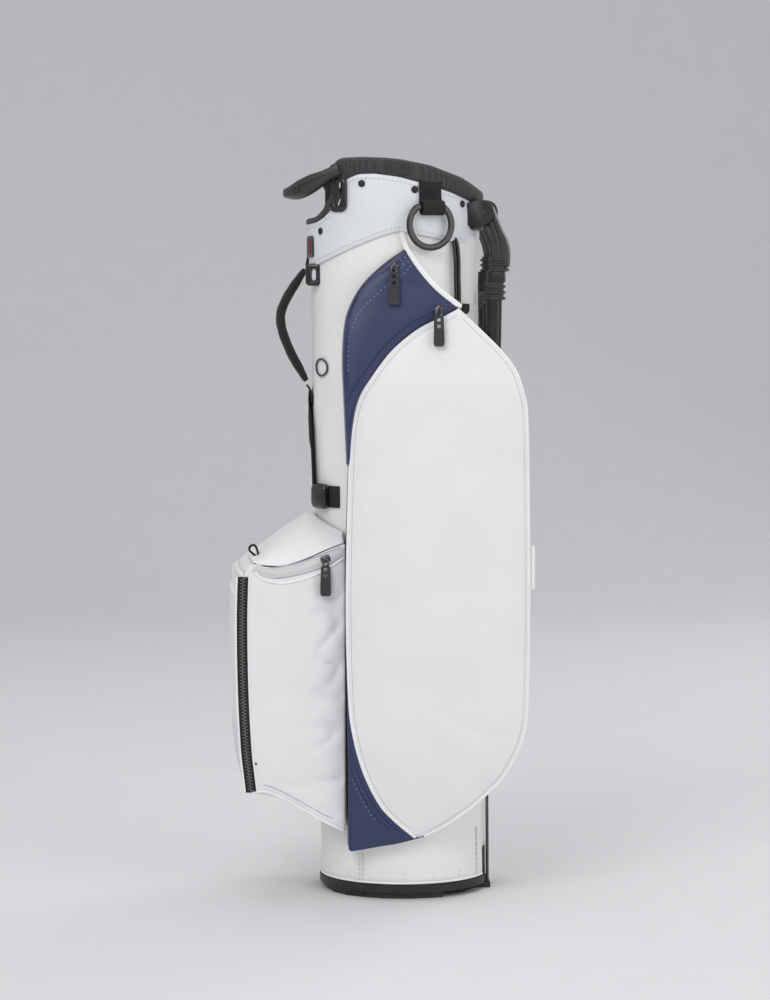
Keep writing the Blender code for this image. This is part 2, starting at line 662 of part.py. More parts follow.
def build_straps(looks):
    pad_look, black = looks["pad_black"], looks["moulded_black"]
    for name, turn, foot_turn in (("front", 136, 204), ("far", 96, 76)):
        hinge, along, out = trunk_frame(turn, STRAP_TOP, STRAP_OFF)
        heights = [742, 715, 670, 620, 570, 525, 508]
        rings = []
        for i, z in enumerate(heights):
            middle, side_dir, out_dir = trunk_frame(turn, z, STRAP_OFF)
            width = (30, 50, 54, 54, 54, 46, 28)[i]
            thick = (6, 12, 14, 14, 14, 11, 6)[i]
            rings.append([middle + side_dir * a + out_dir * b for a, b in slab(width, thick, thick * 0.4, 2)])
        loft("strap_pad_" + name, rings, pad_look, hinge)

        ring = [hinge + along * 14 * math.cos(t) + Vector((0, 0, 2 + 6.0 * math.sin(t)))
                for t in (2 * math.pi * i / 20 for i in range(20))]
        sweep("strap_anchor_" + name, ring, oval(3.2, 3.2, 6), looks["gloss_black"], side=out, closed=True)

        foot, along, out = trunk_frame(foot_turn, 480, 0.6)
        outline = [(-17, -15), (13, -15), (17, -10), (17, 10), (13, 15), (-17, 15)]
        low = [foot + along * a + out * (0.8 + a * a / 330) + Vector((0, 0, b)) for a, b in outline]
        high = [foot + along * a * 0.95 + out * 9 + Vector((0, 0, b * 0.92)) for a, b in outline]
        prism("strap_buckle_" + name, low, high, black)

    grip = spline([(-119.5, 0, 751), (-129, 0, 737), (-142, 0, 716), (-149, 0, 697), (-147, 0, 677),
                   (-137, 0, 651), (-126, 0, 631), (-118.5, 0, 617)], 2)
    sweep("trunk_handle", grip, slab(24, 11, 4.5, 2), pad_look, side=(0, 1, 0), origin=HANDLE_HINGE,
          taper=lambda t: 0.5 + 0.5 * min(1.0, 5 * t, 5 * (1 - t)))

    rings = []
    for z, inset in ((186, 10), (192, 2), (210, 0), (410, 0), (428, 2), (434, 10)):
        ring = []
        turns = [60 + inset + (60 - 2 * inset) * i / 10 for i in range(11)]
        thick = 15 - inset
        ring += [trunk_point(t, z, POCKET_OFF) for t in turns]
        ring += [trunk_point(t, z, POCKET_OFF + thick * (0.6 if t in (turns[0], turns[-1]) else 1.0))
                 for t in reversed(turns)]
        rings.append(ring)
    loft("hip_pad", rings, looks["mesh_black"])


def main():
    clear_scene()
    looks = {
        "white_fabric": material("white_fabric", (0.83, 0.83, 0.84), 0.55),
        "white_leather": material("white_leather", (0.78, 0.80, 0.83), 0.45),
        "navy_fabric": material("navy_fabric", (0.055, 0.065, 0.145), 0.5),
        "moulded_black": material("moulded_black", (0.03, 0.03, 0.033), 0.45),
        "handle_grey": material("handle_grey", (0.06, 0.06, 0.063), 0.5),
        "gloss_black": material("gloss_black", (0.02, 0.02, 0.022), 0.25),
        "zip_black": material("zip_black", (0.025, 0.025, 0.027), 0.5),
        "mesh_black": material("mesh_black", (0.022, 0.022, 0.024), 0.85),
        "pad_black": material("pad_black", (0.03, 0.03, 0.032), 0.8),
        "webbing": material("webbing", (0.025, 0.025, 0.027), 0.75),
        "rubber": material("rubber", (0.045, 0.045, 0.047), 0.7),
        "flap_grey": material("flap_grey", (0.05, 0.05, 0.052), 0.6),
        "badge_red": material("badge_red", (0.35, 0.05, 0.04), 0.5),
        "lining": material("lining", (0.05, 0.05, 0.06), 0.8),
        "glass_fibre": material("glass_fibre", (0.45, 0.42, 0.32), 0.4),
        "steel": material("steel", (0.08, 0.08, 0.085), 0.35, 1.0),
    }
    build_base(looks)
    build_trunk(looks)
    build_cuff(looks)
    build_stand(looks)
    pockets = build_side_pockets(looks)
    pockets["ball"] = build_ball_pocket(looks)
    build_zips(pockets, looks)
    build_straps(looks)


main()
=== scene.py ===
"""Looks of the golf stand bag: sewn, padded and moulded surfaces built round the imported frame.

Sizes are in millimetres and stored in metres. Angles round the trunk are in degrees from +X towards +Y.
"""
import math

import bmesh
import bpy
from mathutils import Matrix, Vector, noise


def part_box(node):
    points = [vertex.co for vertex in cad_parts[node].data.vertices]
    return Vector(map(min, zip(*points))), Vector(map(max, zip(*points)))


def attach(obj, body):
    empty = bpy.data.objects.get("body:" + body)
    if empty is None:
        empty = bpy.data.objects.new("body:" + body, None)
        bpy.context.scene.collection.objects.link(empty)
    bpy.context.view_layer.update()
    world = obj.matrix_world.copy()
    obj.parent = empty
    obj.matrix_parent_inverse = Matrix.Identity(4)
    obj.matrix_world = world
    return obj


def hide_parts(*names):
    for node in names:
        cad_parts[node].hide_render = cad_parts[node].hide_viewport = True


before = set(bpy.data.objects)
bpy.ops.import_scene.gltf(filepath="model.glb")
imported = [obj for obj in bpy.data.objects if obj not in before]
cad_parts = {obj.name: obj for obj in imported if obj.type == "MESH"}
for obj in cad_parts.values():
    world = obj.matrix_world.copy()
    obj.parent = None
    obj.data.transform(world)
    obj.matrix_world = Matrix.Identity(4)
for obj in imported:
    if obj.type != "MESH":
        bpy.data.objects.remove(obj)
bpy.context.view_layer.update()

MM = 0.001
UP = Vector((0, 0, 1))
NEAR = Vector((0, -1, 0))


def cad(node):
    """A CAD node's lowest and highest corners, in millimetres."""
    low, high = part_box(node)
    return Vector(low) / MM, Vector(high) / MM


# ---------------------------------------------------------------- sizes that several pieces share
TRUNK_RY = -cad("trunk_panel_near")[0].y
TRUNK_RX = TRUNK_RY / 0.9
LEAN = 0.0165
BAND_LOW = 7.5
BAND_TOP = 17.0
NOTCH_HALF = 30.0
NOTCH_TOP = 46.0
CUFF_X = -13.2
CUFF_RX = 103.0
COLLAR_TOP = ((-118, 805), (-108, 807), (-100, 812), (-92, 821), (-86, 832), (-80, 846), (-74, 856),
              (-60, 862), (-40, 862.5), (-12, 858.6), (24, 849.5), (53, 841), (92, 826))
RIM_FRONT_X = -86.0
LEATHER_OUT = 3.7
CLIP_Z = 839
PIVOT_X, PIVOT_Y, PIVOT_Z = 94, 50, 819
STRAP_TOP, STRAP_LENGTH, STRAP_OUT = 742, 234, 11
BUCKLE_Z = 480


# ---------------------------------------------------------------- mesh helpers
def link(name, data, body):
    thing = bpy.data.objects.new(name, data)
    bpy.context.scene.collection.objects.link(thing)
    if body:
        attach(thing, body)
    return thing


def make(name, points, faces, look, body="root", sharp=40, flip=None):
    """A mesh piece from points in millimetres."""
    build = bmesh.new()
    verts = [build.verts.new(Vector(p) * MM) for p in points]
    for face in faces:
        try:
            build.faces.new([verts[i] for i in face])
        except ValueError:
            pass
    if flip is None:
        bmesh.ops.recalc_face_normals(build, faces=build.faces)
    elif flip:
        bmesh.ops.reverse_faces(build, faces=build.faces)
    data = bpy.data.meshes.new(name)
    build.to_mesh(data)
    build.free()
    data.shade_smooth()
    if sharp:
        data.set_sharp_from_angle(angle=math.radians(sharp))
    data.materials.append(look)
    return link(name, data, body)


def joined(name, parts, look, body="root", sharp=40):
    """One piece from several lists of (points, faces)."""
    points, faces = [], []
    for more, loops in parts:
        base = len(points)
        points += more
        faces += [tuple(i + base for i in loop) for loop in loops]
    return make(name, points, faces, look, body, sharp=sharp)


def grid_faces(rows, columns, wrap=False):
    """The four-sided faces between the points of a grid, whose rows can close on themselves."""
    faces = []
    for i in range(rows - 1):
        for j in range(columns if wrap else columns - 1):
            k = (j + 1) % columns
            a, b = i * columns, (i + 1) * columns
            faces.append((a + j, a + k, b + k, b + j))
    return faces


def thicken(thing, thick, offset=0.0):
    solid = thing.modifiers.new("thickness", "SOLIDIFY")
    solid.thickness = thick * MM
    solid.offset = offset
    return thing


def sheet_of(name, rows, look, thick=1.2):
    """A grid of points given a thickness, so that it is a closed cloth with two faces."""
    points = [p for row in rows for p in row]
    return thicken(make(name, points, grid_faces(len(rows), len(rows[0])), look, flip=False), thick)


def loft_parts(rings, closed=False):
    """The points and faces of a skin over a row of rings, with flat ends unless it closes on itself."""
    size = len(rings[0])
    points = [Vector(p) for ring in rings for p in ring]
    faces = grid_faces(len(rings), size, True)
    if closed:
        last = (len(rings) - 1) * size
        faces += [(last + j, last + (j + 1) % size, (j + 1) % size, j) for j in range(size)]
    else:
        faces.append(tuple(range(size)))
        faces.append(tuple(len(points) - size + j for j in range(size)))
    return points, faces


def loft(name, rings, look, body="root", closed=False, sharp=40):
    return make(name, *loft_parts(rings, closed), look, body, sharp=sharp)


def ring_at(middle, across, up, section, size=1.0):
    """A flat section's points in space, round a middle and along two directions."""
    return [middle + across * (a * size) + up * (b * size) for a, b in section]


def stack(name, foot, across, up, out, section, steps, look, sharp=40):
    """A loft of one section, at the heights and sizes that the steps give."""
    rings = [ring_at(foot + out * lift, across, up, section, size) for lift, size in steps]
    return loft(name, rings, look, sharp=sharp)


def oval(width, height, count=12):
    turns = [2 * math.pi * i / count for i in range(count)]
    return [(width / 2 * math.cos(t), height / 2 * math.sin(t)) for t in turns]


def slab(width, height, corner, steps=3):
    """A flat section with round corners."""
    corner = min(corner, width / 2 - 0.01, height / 2 - 0.01)
    made = []
    for quarter, (sx, sy) in enumerate(((1, 1), (-1, 1), (-1, -1), (1, -1))):
        cx, cy = sx * (width / 2 - corner), sy * (height / 2 - corner)
        for i in range(steps + 1):
            turn = math.pi / 2 * (quarter + i / steps)
            made.append((cx + corner * math.cos(turn), cy + corner * math.sin(turn)))
    return made


def spline(points, steps=6):
    """A smooth line through all the points."""
    points = [Vector(p) for p in points]
    last = len(points) - 1
    made = []
    for i in range(last):
        a, b, c, d = (points[min(max(i + k, 0), last)] for k in (-1, 0, 1, 2))
        for step in range(steps):
            t = step / steps
            made.append(0.5 * (2 * b + (c - a) * t + (2 * a - 5 * b + 4 * c - d) * t * t
                               + (3 * b - 3 * c + d - a) * t ** 3))
    return made + [points[-1]]


def resample(curve, count):
    """Points at equal distances along a line of points."""
    lengths = [0.0]
    for a, b in zip(curve, curve[1:]):
        lengths.append(lengths[-1] + (b - a).length)
    made, j = [], 0
    for i in range(count):
        want = lengths[-1] * i / (count - 1)
        while j < len(curve) - 2 and lengths[j + 1] < want:
            j += 1
        part = (want - lengths[j]) / max(lengths[j + 1] - lengths[j], 1e-9)
        made.append(curve[j].lerp(curve[j + 1], part))
    return made


def sweep_parts(path, section, side=(0, 1, 0), closed=False, size=None):
    """A section carried along a path. Side is a direction, or a function of the place on the path."""
    path = [Vector(p) for p in path]
    count = len(path)
    rings = []
    for i, point in enumerate(path):
        ahead = path[(i + 1) % count] if closed or i + 1 < count else point
        behind = path[i - 1] if closed or i > 0 else point
        along = (ahead - behind).normalized()
        want = Vector(side(i / max(count - 1, 1))) if callable(side) else Vector(side)
        across = want - along * along.dot(want)
        across.normalize()
        up = along.cross(across)
        wide, high = size(i / (count - 1)) if size else (1.0, 1.0)
        rings.append([point + across * a * wide + up * b * high for a, b in section])
    return loft_parts(rings, closed)


def sweep(name, path, section, look, side=(0, 1, 0), body="root", closed=False, size=None, sharp=40):
    return make(name, *sweep_parts(path, section, side, closed, size), look, body, sharp=sharp)


def tube(name, path, radius, look, body="root", closed=False, sides=8, side=(0, 1, 0)):
    return sweep(name, path, oval(2 * radius, 2 * radius, sides), look, side, body, closed)


def stitches(name, path, look, dash=3.0, gap=1.8, radius=0.45, side=(0, 1, 0)):
    """Thread dashes along a path, each one a small pointed cylinder half sunk into the cloth."""
    path = [Vector(p) for p in path]
    total = sum((b - a).length for a, b in zip(path, path[1:]))
    count = max(2, int(total / (dash + gap)))
    marks = resample(path, count * 4 + 1)
    parts = []
    for i in range(count):
        run = marks[i * 4:i * 4 + 3]
        if (run[2] - run[0]).length > 0.2:
            shape = lambda t: (0.35 + 0.65 * math.sin(math.pi * t),) * 2
            parts.append(sweep_parts(run, oval(2 * radius, 2 * radius, 5), side, size=shape))
    joined(name, parts, look)


def plate_parts(outline, origin, across, up, depth):
    """A flat outline given a depth along its normal."""
    across, up = Vector(across).normalized(), Vector(up).normalized()
    back, out = ring_at(Vector(origin), across, up, outline), across.cross(up).normalized()
    return loft_parts([back, [p + out * depth for p in back]])


def plate(name, outline, origin, across, up, depth, look, body="root", bevel=0.6):
    thing = make(name, *plate_parts(outline, origin, across, up, depth), look, body, sharp=30)
    if bevel:
        round_edges(thing, bevel)
    return thing


def round_edges(thing, width, segments=3, angle=30):
    change = thing.modifiers.new("rounding", "BEVEL")
    change.width = width * MM
    change.segments = segments
    change.limit_method = "ANGLE"
    change.angle_limit = math.radians(angle)


def carve(thing, cutters):
    """Cuts the shapes out of a piece for good, and removes them."""
    for cutter in cutters:
        change = thing.modifiers.new("cut", "BOOLEAN")
        change.operation = "DIFFERENCE"
        change.object = cutter
        change.solver = "EXACT"
    graph = bpy.context.evaluated_depsgraph_get()
    graph.update()
    data = bpy.data.meshes.new_from_object(thing.evaluated_get(graph))
    thing.modifiers.clear()
    old = thing.data
    thing.data = data
    bpy.data.meshes.remove(old)
    for cutter in cutters:
        bpy.data.objects.remove(cutter, do_unlink=True)


def cutter_plate(outline, origin, across, up, depth):
    return make("cutter", *plate_parts(outline, origin, across, up, depth), plain, None)


# ---------------------------------------------------------------- places on the trunk
def centre_x(z):
    return -LEAN * z


def trunk_point(turn, z, offset=0.0):
    angle = math.radians(turn)
    return Vector((centre_x(z) + (TRUNK_RX + offset) * math.cos(angle),
                   (TRUNK_RY + offset) * math.sin(angle), z))


def trunk_frame(turn, z, offset=0.0):
    angle = math.radians(turn)
    out = Vector((TRUNK_RY * math.cos(angle), TRUNK_RX * math.sin(angle), 0)).normalized()
    return trunk_point(turn, z) + out * offset, Vector((-out.y, out.x, 0)), out


def read_height(points, x):
    for (x0, z0), (x1, z1) in zip(points, points[1:]):
        if x <= x1:
            t = min(1.0, max(0.0, (x - x0) / (x1 - x0)))
            return z0 + (z1 - z0) * t
    return points[-1][1]


def collar_top(turn):
    return read_height(COLLAR_TOP, CUFF_X + CUFF_RX * math.cos(math.radians(turn)))


def collar_bottom(turn):
    """The height of the leather cuff's lower edge, which dips at the front."""
    along = math.cos(math.radians(turn))
    if along < 0:
        return 795.0 - 43.0 * abs(along) ** 1.3
    return 795.0 - 18.0 * along


def turn_of_x(x, side=-1):
    return side * math.degrees(math.acos(max(-1.0, min(1.0, (x - CUFF_X) / CUFF_RX))))


def fade(value, low, high):
    t = min(1.0, max(0.0, (value - low) / (high - low)))
    return t * t * (3 - 2 * t)


# ---------------------------------------------------------------- materials
def nodes_of(name):
    made = bpy.data.materials.new(name)
    made.use_nodes = True
    tree = made.node_tree
    return made, tree, tree.nodes["Principled BSDF"]


def add(tree, kind, **values):
    node = tree.nodes.new(kind)
    for key, value in values.items():
        if key in node.inputs:
            node.inputs[key].default_value = value
        else:
            setattr(node, key.lower(), value)
    return node


def wire(tree, source, output, target, value):
    tree.links.new(source.outputs[output], target.inputs[value])


def ramp(tree, dark, low, light, high):
    """A colour ramp between two colours at two places."""
    shades = add(tree, "ShaderNodeValToRGB")
    for mark, colour, place in zip(shades.color_ramp.elements, (dark, light), (low, high)):
        mark.position, mark.color = place, (*colour, 1)
    return shades


def surface(name, colour, rough, spread=0.05, grain=900.0, depth=0.15, distance=0.0002, weave=0.0,
            metal=0.0, sheen=0.0, coat=0.0, weave_scale=700.0):
    """A material with a fine grain, an optional weave, and a slow change of colour and roughness."""
    made, tree, shader = nodes_of(name)
    shader.inputs["Metallic"].default_value = metal
    shader.inputs["Sheen Weight"].default_value = sheen
    shader.inputs["Sheen Roughness"].default_value = 0.5
    shader.inputs["Coat Weight"].default_value = coat
    place = add(tree, "ShaderNodeTexCoord")
    slow = add(tree, "ShaderNodeTexNoise", Scale=18.0, Detail=4.0)
    wire(tree, place, "Object", slow, "Vector")
    dark = [c * (1 - spread) for c in colour]
    shades = ramp(tree, dark, 0.3, [min(1.0, c * (1 + spread)) for c in colour], 0.7)
    wire(tree, slow, "Fac", shades, "Fac")
    wire(tree, shades, "Color", shader, "Base Color")
    gloss = add(tree, "ShaderNodeMapRange")
    gloss.inputs["To Min"].default_value = max(0.02, rough - 0.07)
    gloss.inputs["To Max"].default_value = min(1.0, rough + 0.07)
    wire(tree, slow, "Fac", gloss, "Value")
    wire(tree, gloss, "Result", shader, "Roughness")
    fine = add(tree, "ShaderNodeTexNoise", Scale=grain, Detail=3.0)
    wire(tree, place, "Object", fine, "Vector")
    height = fine.outputs["Fac"]
    if weave:
        waves = []
        for direction in ("X", "Z"):
            wave = add(tree, "ShaderNodeTexWave", Scale=weave_scale)
            wave.bands_direction = direction
            wire(tree, place, "Object", wave, "Vector")
            waves.append(wave)
        mix = add(tree, "ShaderNodeMath", operation="ADD")
        wire(tree, waves[0], "Fac", mix, 0)
        wire(tree, waves[1], "Fac", mix, 1)
        scaled = add(tree, "ShaderNodeMath", operation="MULTIPLY_ADD")
        scaled.inputs[1].default_value = weave
        wire(tree, mix, 0, scaled, 0)
        wire(tree, fine, "Fac", scaled, 2)
        height = scaled.outputs[0]
    bump = add(tree, "ShaderNodeBump", Strength=depth, Distance=distance)
    tree.links.new(height, bump.inputs["Height"])
    wire(tree, bump, "Normal", shader, "Normal")
    return made


def mesh_fabric(name, colour, scale):
    """Open spacer mesh set on the diagonal: threads of the given colour, and cells darkened towards their
    middles as painted shade in the mesh's open hollows.
    """
    made, tree, shader = nodes_of(name)
    shader.inputs["Roughness"].default_value = 0.8
    shader.inputs["Sheen Weight"].default_value = 0.1
    place = add(tree, "ShaderNodeTexCoord")
    turn = add(tree, "ShaderNodeMapping")
    turn.inputs["Rotation"].default_value = (0.0, math.radians(38), 0.0)
    wire(tree, place, "Object", turn, "Vector")
    cells = add(tree, "ShaderNodeTexVoronoi", Scale=scale, Randomness=0.15)
    wire(tree, turn, "Vector", cells, "Vector")
    # The cells' dark middles are painted shade in the open weave's hollows; the cell pattern itself is the
    # mesh's own.
    shades = ramp(tree, [c * 0.12 for c in colour], 0.15, colour, 0.55)
    wire(tree, cells, "Distance", shades, "Fac")
    wire(tree, shades, "Color", shader, "Base Color")
    bump = add(tree, "ShaderNodeBump", Strength=1.0, Distance=0.0012)
    wire(tree, cells, "Distance", bump, "Height")
    wire(tree, bump, "Normal", shader, "Normal")
    return made


plain = bpy.data.materials.new("cutter")
CLOTH = {"grain": 500, "depth": 0.12, "distance": 0.0003, "weave": 0.5, "weave_scale": 900}
WHITE = surface("white_fabric", (0.80, 0.80, 0.805), 0.5, 0.02, sheen=0.15, **CLOTH)
WARM = surface("white_fabric_warm", (0.83, 0.825, 0.81), 0.5, 0.02, sheen=0.15, **CLOTH)
NAVY = surface("navy_fabric", (0.024, 0.034, 0.102), 0.42, 0.08, sheen=0.1, **CLOTH)
LEATHER = surface("white_leather", (0.74, 0.76, 0.79), 0.42, 0.02, 1300, 0.25, 0.00015, coat=0.05)
PIPING = surface("white_piping", (0.86, 0.86, 0.86), 0.4, 0.02, 800, 0.1)
THREAD = surface("grey_thread", (0.42, 0.43, 0.45), 0.7, 0.1, 1500, 0.2)
THREAD_LIGHT = surface("light_thread", (0.35, 0.38, 0.55), 0.7, 0.1, 1500, 0.2)
THREAD_DARK = surface("dark_thread", (0.02, 0.02, 0.022), 0.7, 0.1, 1500, 0.2)
# Darker navy: painted shade for the dark lines in the navy cloth's folds and beside its edges, band and zip,
# and the real thread of the eyelet's stitches.
NAVY_SHADE_AND_THREAD = surface("navy_shade_and_thread", (0.012, 0.014, 0.045), 0.6, 0.05, 900, 0.2)
PLASTIC = surface("moulded_black", (0.012, 0.012, 0.013), 0.42, 0.12, 1600, 0.2, 0.00015)
CHARCOAL = surface("moulded_charcoal", (0.030, 0.030, 0.032), 0.45, 0.10, 1400, 0.25, 0.0002)
GLOSS = surface("gloss_black", (0.010, 0.010, 0.011), 0.22, 0.1, 700, 0.06, 0.0001, coat=0.3)
RUBBER = surface("rubber", (0.032, 0.032, 0.034), 0.62, 0.1, 1200, 0.3, 0.0002)
METAL = surface("black_metal", (0.10, 0.10, 0.105), 0.28, 0.15, 500, 0.08, 0.0001, metal=1.0)
STEEL = surface("screw_steel", (0.55, 0.55, 0.56), 0.3, 0.05, 400, 0.05, 0.0001, metal=1.0)
TAPE = surface("zip_tape", (0.012, 0.012, 0.013), 0.75, 0.12, 900, 0.5, 0.0003, weave=0.8, weave_scale=1200)
TAPE_WHITE = surface("zip_tape_white", (0.74, 0.74, 0.745), 0.6, 0.03, 900, 0.5, 0.0003, weave=0.8,
                     weave_scale=1200)
TEETH = surface("zip_teeth", (0.15, 0.15, 0.155), 0.3, 0.1, 600, 0.1, 0.0001)
WEBBING = surface("webbing", (0.013, 0.013, 0.014), 0.7, 0.12, 900, 0.6, 0.0005, weave=1.2, weave_scale=520)
PAD = surface("pad_cover", (0.014, 0.014, 0.015), 0.8, 0.12, 700, 0.5, 0.0004, weave=0.8, sheen=0.1,
              weave_scale=600)
LINING = surface("lining", (0.035, 0.035, 0.045), 0.8, 0.1, 700, 0.4, 0.0003, weave=0.6)
BADGE = surface("badge_red", (0.15, 0.02, 0.018), 0.5, 0.08, 900, 0.2)
TUBE = surface("leg_tube", (0.010, 0.010, 0.011), 0.35, 0.1, 900, 0.08, 0.0001)
FIBRE = surface("glass_fibre", (0.42, 0.39, 0.28), 0.4, 0.08, 800, 0.2)
FLAP = surface("flap_grey", (0.022, 0.022, 0.023), 0.6, 0.1, 900, 0.35, 0.0003)
MESH = mesh_fabric("mesh_black", (0.050, 0.050, 0.053), 360.0)
FLOOR = surface("floor", (0.72, 0.72, 0.73), 0.7, 0.01, 40, 0.02)


def paint(look, *nodes):
    """Gives CAD nodes that stay in view their material."""
    for node in nodes:
        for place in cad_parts[node].material_slots:
            place.material = look


def wrinkle(place, size, stretch=(1.0, 1.0, 1.0), seed=0.0):
    """A smooth number from about -1 to 1 at a place in millimetres."""
    spot = Vector((place[0] * stretch[0], place[1] * stretch[1], place[2] * stretch[2])) / size
    return noise.noise(spot + Vector((seed, seed * 1.7, seed * 0.6)))


def folds(place, size, stretch, seed=0.0):
    """Sharp soft creases: ridges where the smooth number crosses zero."""
    return 1.0 - min(1.0, abs(wrinkle(place, size, stretch, seed)) * 3.2)


# ---------------------------------------------------------------- trunk
def cloth_relief(turn, z):
    """How far the trunk's cloth stands out of its smooth oval here: slow waves and a few soft creases."""
    angle = math.radians(turn)
    place = (100 * math.cos(angle), 90 * math.sin(angle), z)
    calm = fade(z, 18, 70) * (1 - fade(z, 735, 790))
    wave = 1.1 * wrinkle(place, 95, (1, 1, 0.45), 3) + 0.5 * wrinkle(place, 38, (1, 1, 0.5), 7)
    crease = 0.7 * folds(place, 70, (1.2, 1.2, 0.35), 11) ** 3
    pull = 0.9 * math.exp(-((z - 40) / 16) ** 2) * (0.5 + 0.5 * wrinkle(place, 26, (1, 1, 0.2), 2))
    rear = 5.0 * math.exp(-((turn % 360 - 333) / 16) ** 2) * fade(z, 560, 700)
    rear += 5.0 * math.exp(-((turn % 360 - 27) / 16) ** 2) * fade(z, 560, 700)
    gather = 2.4 * math.exp(-((turn % 360 - 309) / 3.2) ** 2) * fade(z, 690, 740)
    return calm * (wave - crease) + pull * fade(z, 18, 30) + (rear - gather) * (1 - fade(z, 780, 806))


def cloth_point(turn, z, lift=0.0):
    return trunk_frame(turn, z, cloth_relief(turn, z) + lift)[0]


def build_trunk():
    turns = [2.5 * i for i in range(144)]
    rows = []
    for j in range(96):
        low = BAND_TOP + 0.6
        rows.append([cloth_point(turn, low + (collar_top(turn) - 3 - low) * j / 95) for turn in turns])
    points = [p for row in rows for p in row]
    faces = []
    for face in grid_faces(len(rows), len(turns), True):
        middle = sum((points[i] for i in face), Vector()) / 4
        if not (middle.z < NOTCH_TOP + 4 and abs(middle.y) < NOTCH_HALF + 2 and middle.x > 0):
            faces.append(face)
    skin = make("trunk_skin", points, faces, WARM, flip=False, sharp=60)
    thicken(skin, 1.8, -1.0)
    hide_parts("trunk_panel_front", "trunk_panel_rear", "trunk_panel_near", "trunk_panel_far")

    for name, turn in (("front_near", 236), ("rear_near", 329), ("front_far", 124), ("rear_far", 31)):
        top = collar_bottom(turn) + 2 if "far" in name else 82
        heights = [z for z in range(20, 780, 12) if z < top]
        for index, step in enumerate((-1.6, 1.6)):
            path = [cloth_point(turn + step, z, 0.25) for z in heights]
            stitches(f"trunk_stitch_{name}_{index}", path, THREAD, dash=3.4, gap=2.2, radius=0.35)
        path = [cloth_point(turn, z, 0.3) for z in heights]
        sweep("trunk_seam_" + name, path, slab(3.6, 1.0, 0.4, 1), WARM, side=(-0.3, 1, 0))


# ---------------------------------------------------------------- cuff
RIM_TOP = ((-88, 879), (-78, 882), (-56, 882.5), (-30, 881.5), (-9, 879.5), (27, 873), (63, 860), (87, 846))


def rim_top(turn):
    return read_height(RIM_TOP, CUFF_X + CUFF_RX * math.cos(math.radians(turn)))


def rim_shift(turn):
    """How much further out the rim stands over the bracket at the back."""
    return 4.5 * fade(math.cos(math.radians(turn)), 0.35, 0.95)


def build_cuff():
    rings = []
    for i in range(180):
        turn = 2.0 * i
        low, high = collar_bottom(turn), collar_top(turn)
        angle = math.radians(turn)
        place = (110 * math.cos(angle), 98 * math.sin(angle), 0)
        ring = [(0.6, low + 1.0), (1.1, low + 0.2), (2.6, low), (3.3, low + 1.0)]
        for step in range(1, 14):
            z = low + 1 + (high - low - 2) * step / 14
            inside = math.sin(math.pi * step / 14)
            soft = 0.45 * wrinkle((place[0], place[1], z), 34, (1, 1, 1.3), 5) * inside
            for seam in (1.6, 12.4):
                soft -= 0.36 * math.exp(-((step - seam) / 0.7) ** 2)
            ring.append((3.3 + soft + 0.5 * inside, z))
        ring += [(3.3, high - 1.0), (2.6, high), (1.1, high), (0.6, high - 1.0)]
        rings.append([trunk_point(turn, z, offset) for offset, z in ring])
    collar = loft("cuff_leather", rings, LEATHER, closed=True, sharp=55)
    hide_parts("cuff_collar")

    end = turn_of_x(RIM_FRONT_X, 1)
    rings = []
    for i in range(121):
        share = i / 120
        turn = -end + 2 * end * share
        edge = min(1.0, share * 60, (1 - share) * 60)
        small = 0.8 + 0.2 * math.sqrt(edge * (2 - edge))
        angle = math.radians(turn)
        top = rim_top(turn)
        low = max(collar_top(turn) - 1.0, top - 27)
        puff = 0.5 * wrinkle((100 * math.cos(angle), 90 * math.sin(angle), 0), 30, (1, 1, 1), 9)
        rear = rim_shift(turn)
        ring = []
        for a, b in slab(16.0, top - low, 6.0, 5):
            wide = (a + math.copysign(puff, a)) * small - 3.2 + (rear if a > 0 else rear * 0.4)
            ring.append(trunk_point(turn, (top + low) / 2 + b * (0.5 + 0.5 * small), wide))
        rings.append(ring)
    rim = loft("rim_mesh", rings, MESH)
    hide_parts("rim_pad")
    for index, (offset, drop) in enumerate(((4.4, 17.0), (3.4, 3.2))):
        path = []
        for i in range(91):
            turn = -end + 3 + (2 * end - 6) * i / 90
            path.append(trunk_point(turn, rim_top(turn) - drop, offset + rim_shift(turn)))
        stitches(f"rim_stitch_{index}", path, THREAD_DARK, dash=3.2, gap=2.0, radius=0.35, side=(0, 0, 1))

    lip_turns = [end - 3 + (360 - 2 * end + 6) * i / 40 for i in range(41)]
    lip = [trunk_point(t, collar_top(t) + 2.4, 0.6) for t in lip_turns]
    edge = sweep("scoop_lip", lip, slab(8.5, 8.0, 3.6, 4), MESH, side=lambda t: tuple(
        trunk_frame(lip_turns[min(40, int(t * 40))], 800)[2]), sharp=60)

    def line(name, height, turns):
        path = [trunk_point(t, height(t), 3.75) for t in turns]
        stitches(name, path, THREAD, dash=3.2, gap=2.0, radius=0.42, side=(0, 0, 1))

    whole = [200 + 2.5 * i for i in range(49)]
    line("collar_stitch_top_near", lambda t: collar_top(t) - 5, [232 + 2 * i for i in range(48)])
    line("collar_stitch_scoop", lambda t: collar_top(t) - 6.0, [148 + 2 * i for i in range(40)])
    line("collar_stitch_top_far", lambda t: collar_top(t) - 5, [40 + 2 * i for i in range(45)])
    line("collar_stitch_low_near", lambda t: collar_bottom(t) + 5, whole)
    line("collar_stitch_low_far", lambda t: collar_bottom(t) + 5, [360 - t for t in whole])
    rear = turn_of_x(79)
    for name, turn in (("near", rear), ("far", -rear)):
        low, high = collar_bottom(turn) + 6, collar_top(turn) - 7
        path = [trunk_point(turn, low + (high - low) * i / 12, 3.75) for i in range(13)]
        stitches("collar_stitch_end_" + name, path, THREAD, dash=3.2, gap=2.0, radius=0.42, side=(1, 0, 0))

    for index, (x, z) in enumerate(((-55.5, 851), (6.2, 844), (64.6, 828), (-102.5, 796))):
        for name, side in (("near", -1), ("far", 1)):
            stud(f"cuff_stud_{name}_{index + 1}", turn_of_x(x, side), z, LEATHER_OUT, 4.2, PLASTIC,
                 f"cuff_rivet_{index + 1}" if side < 0 else None)


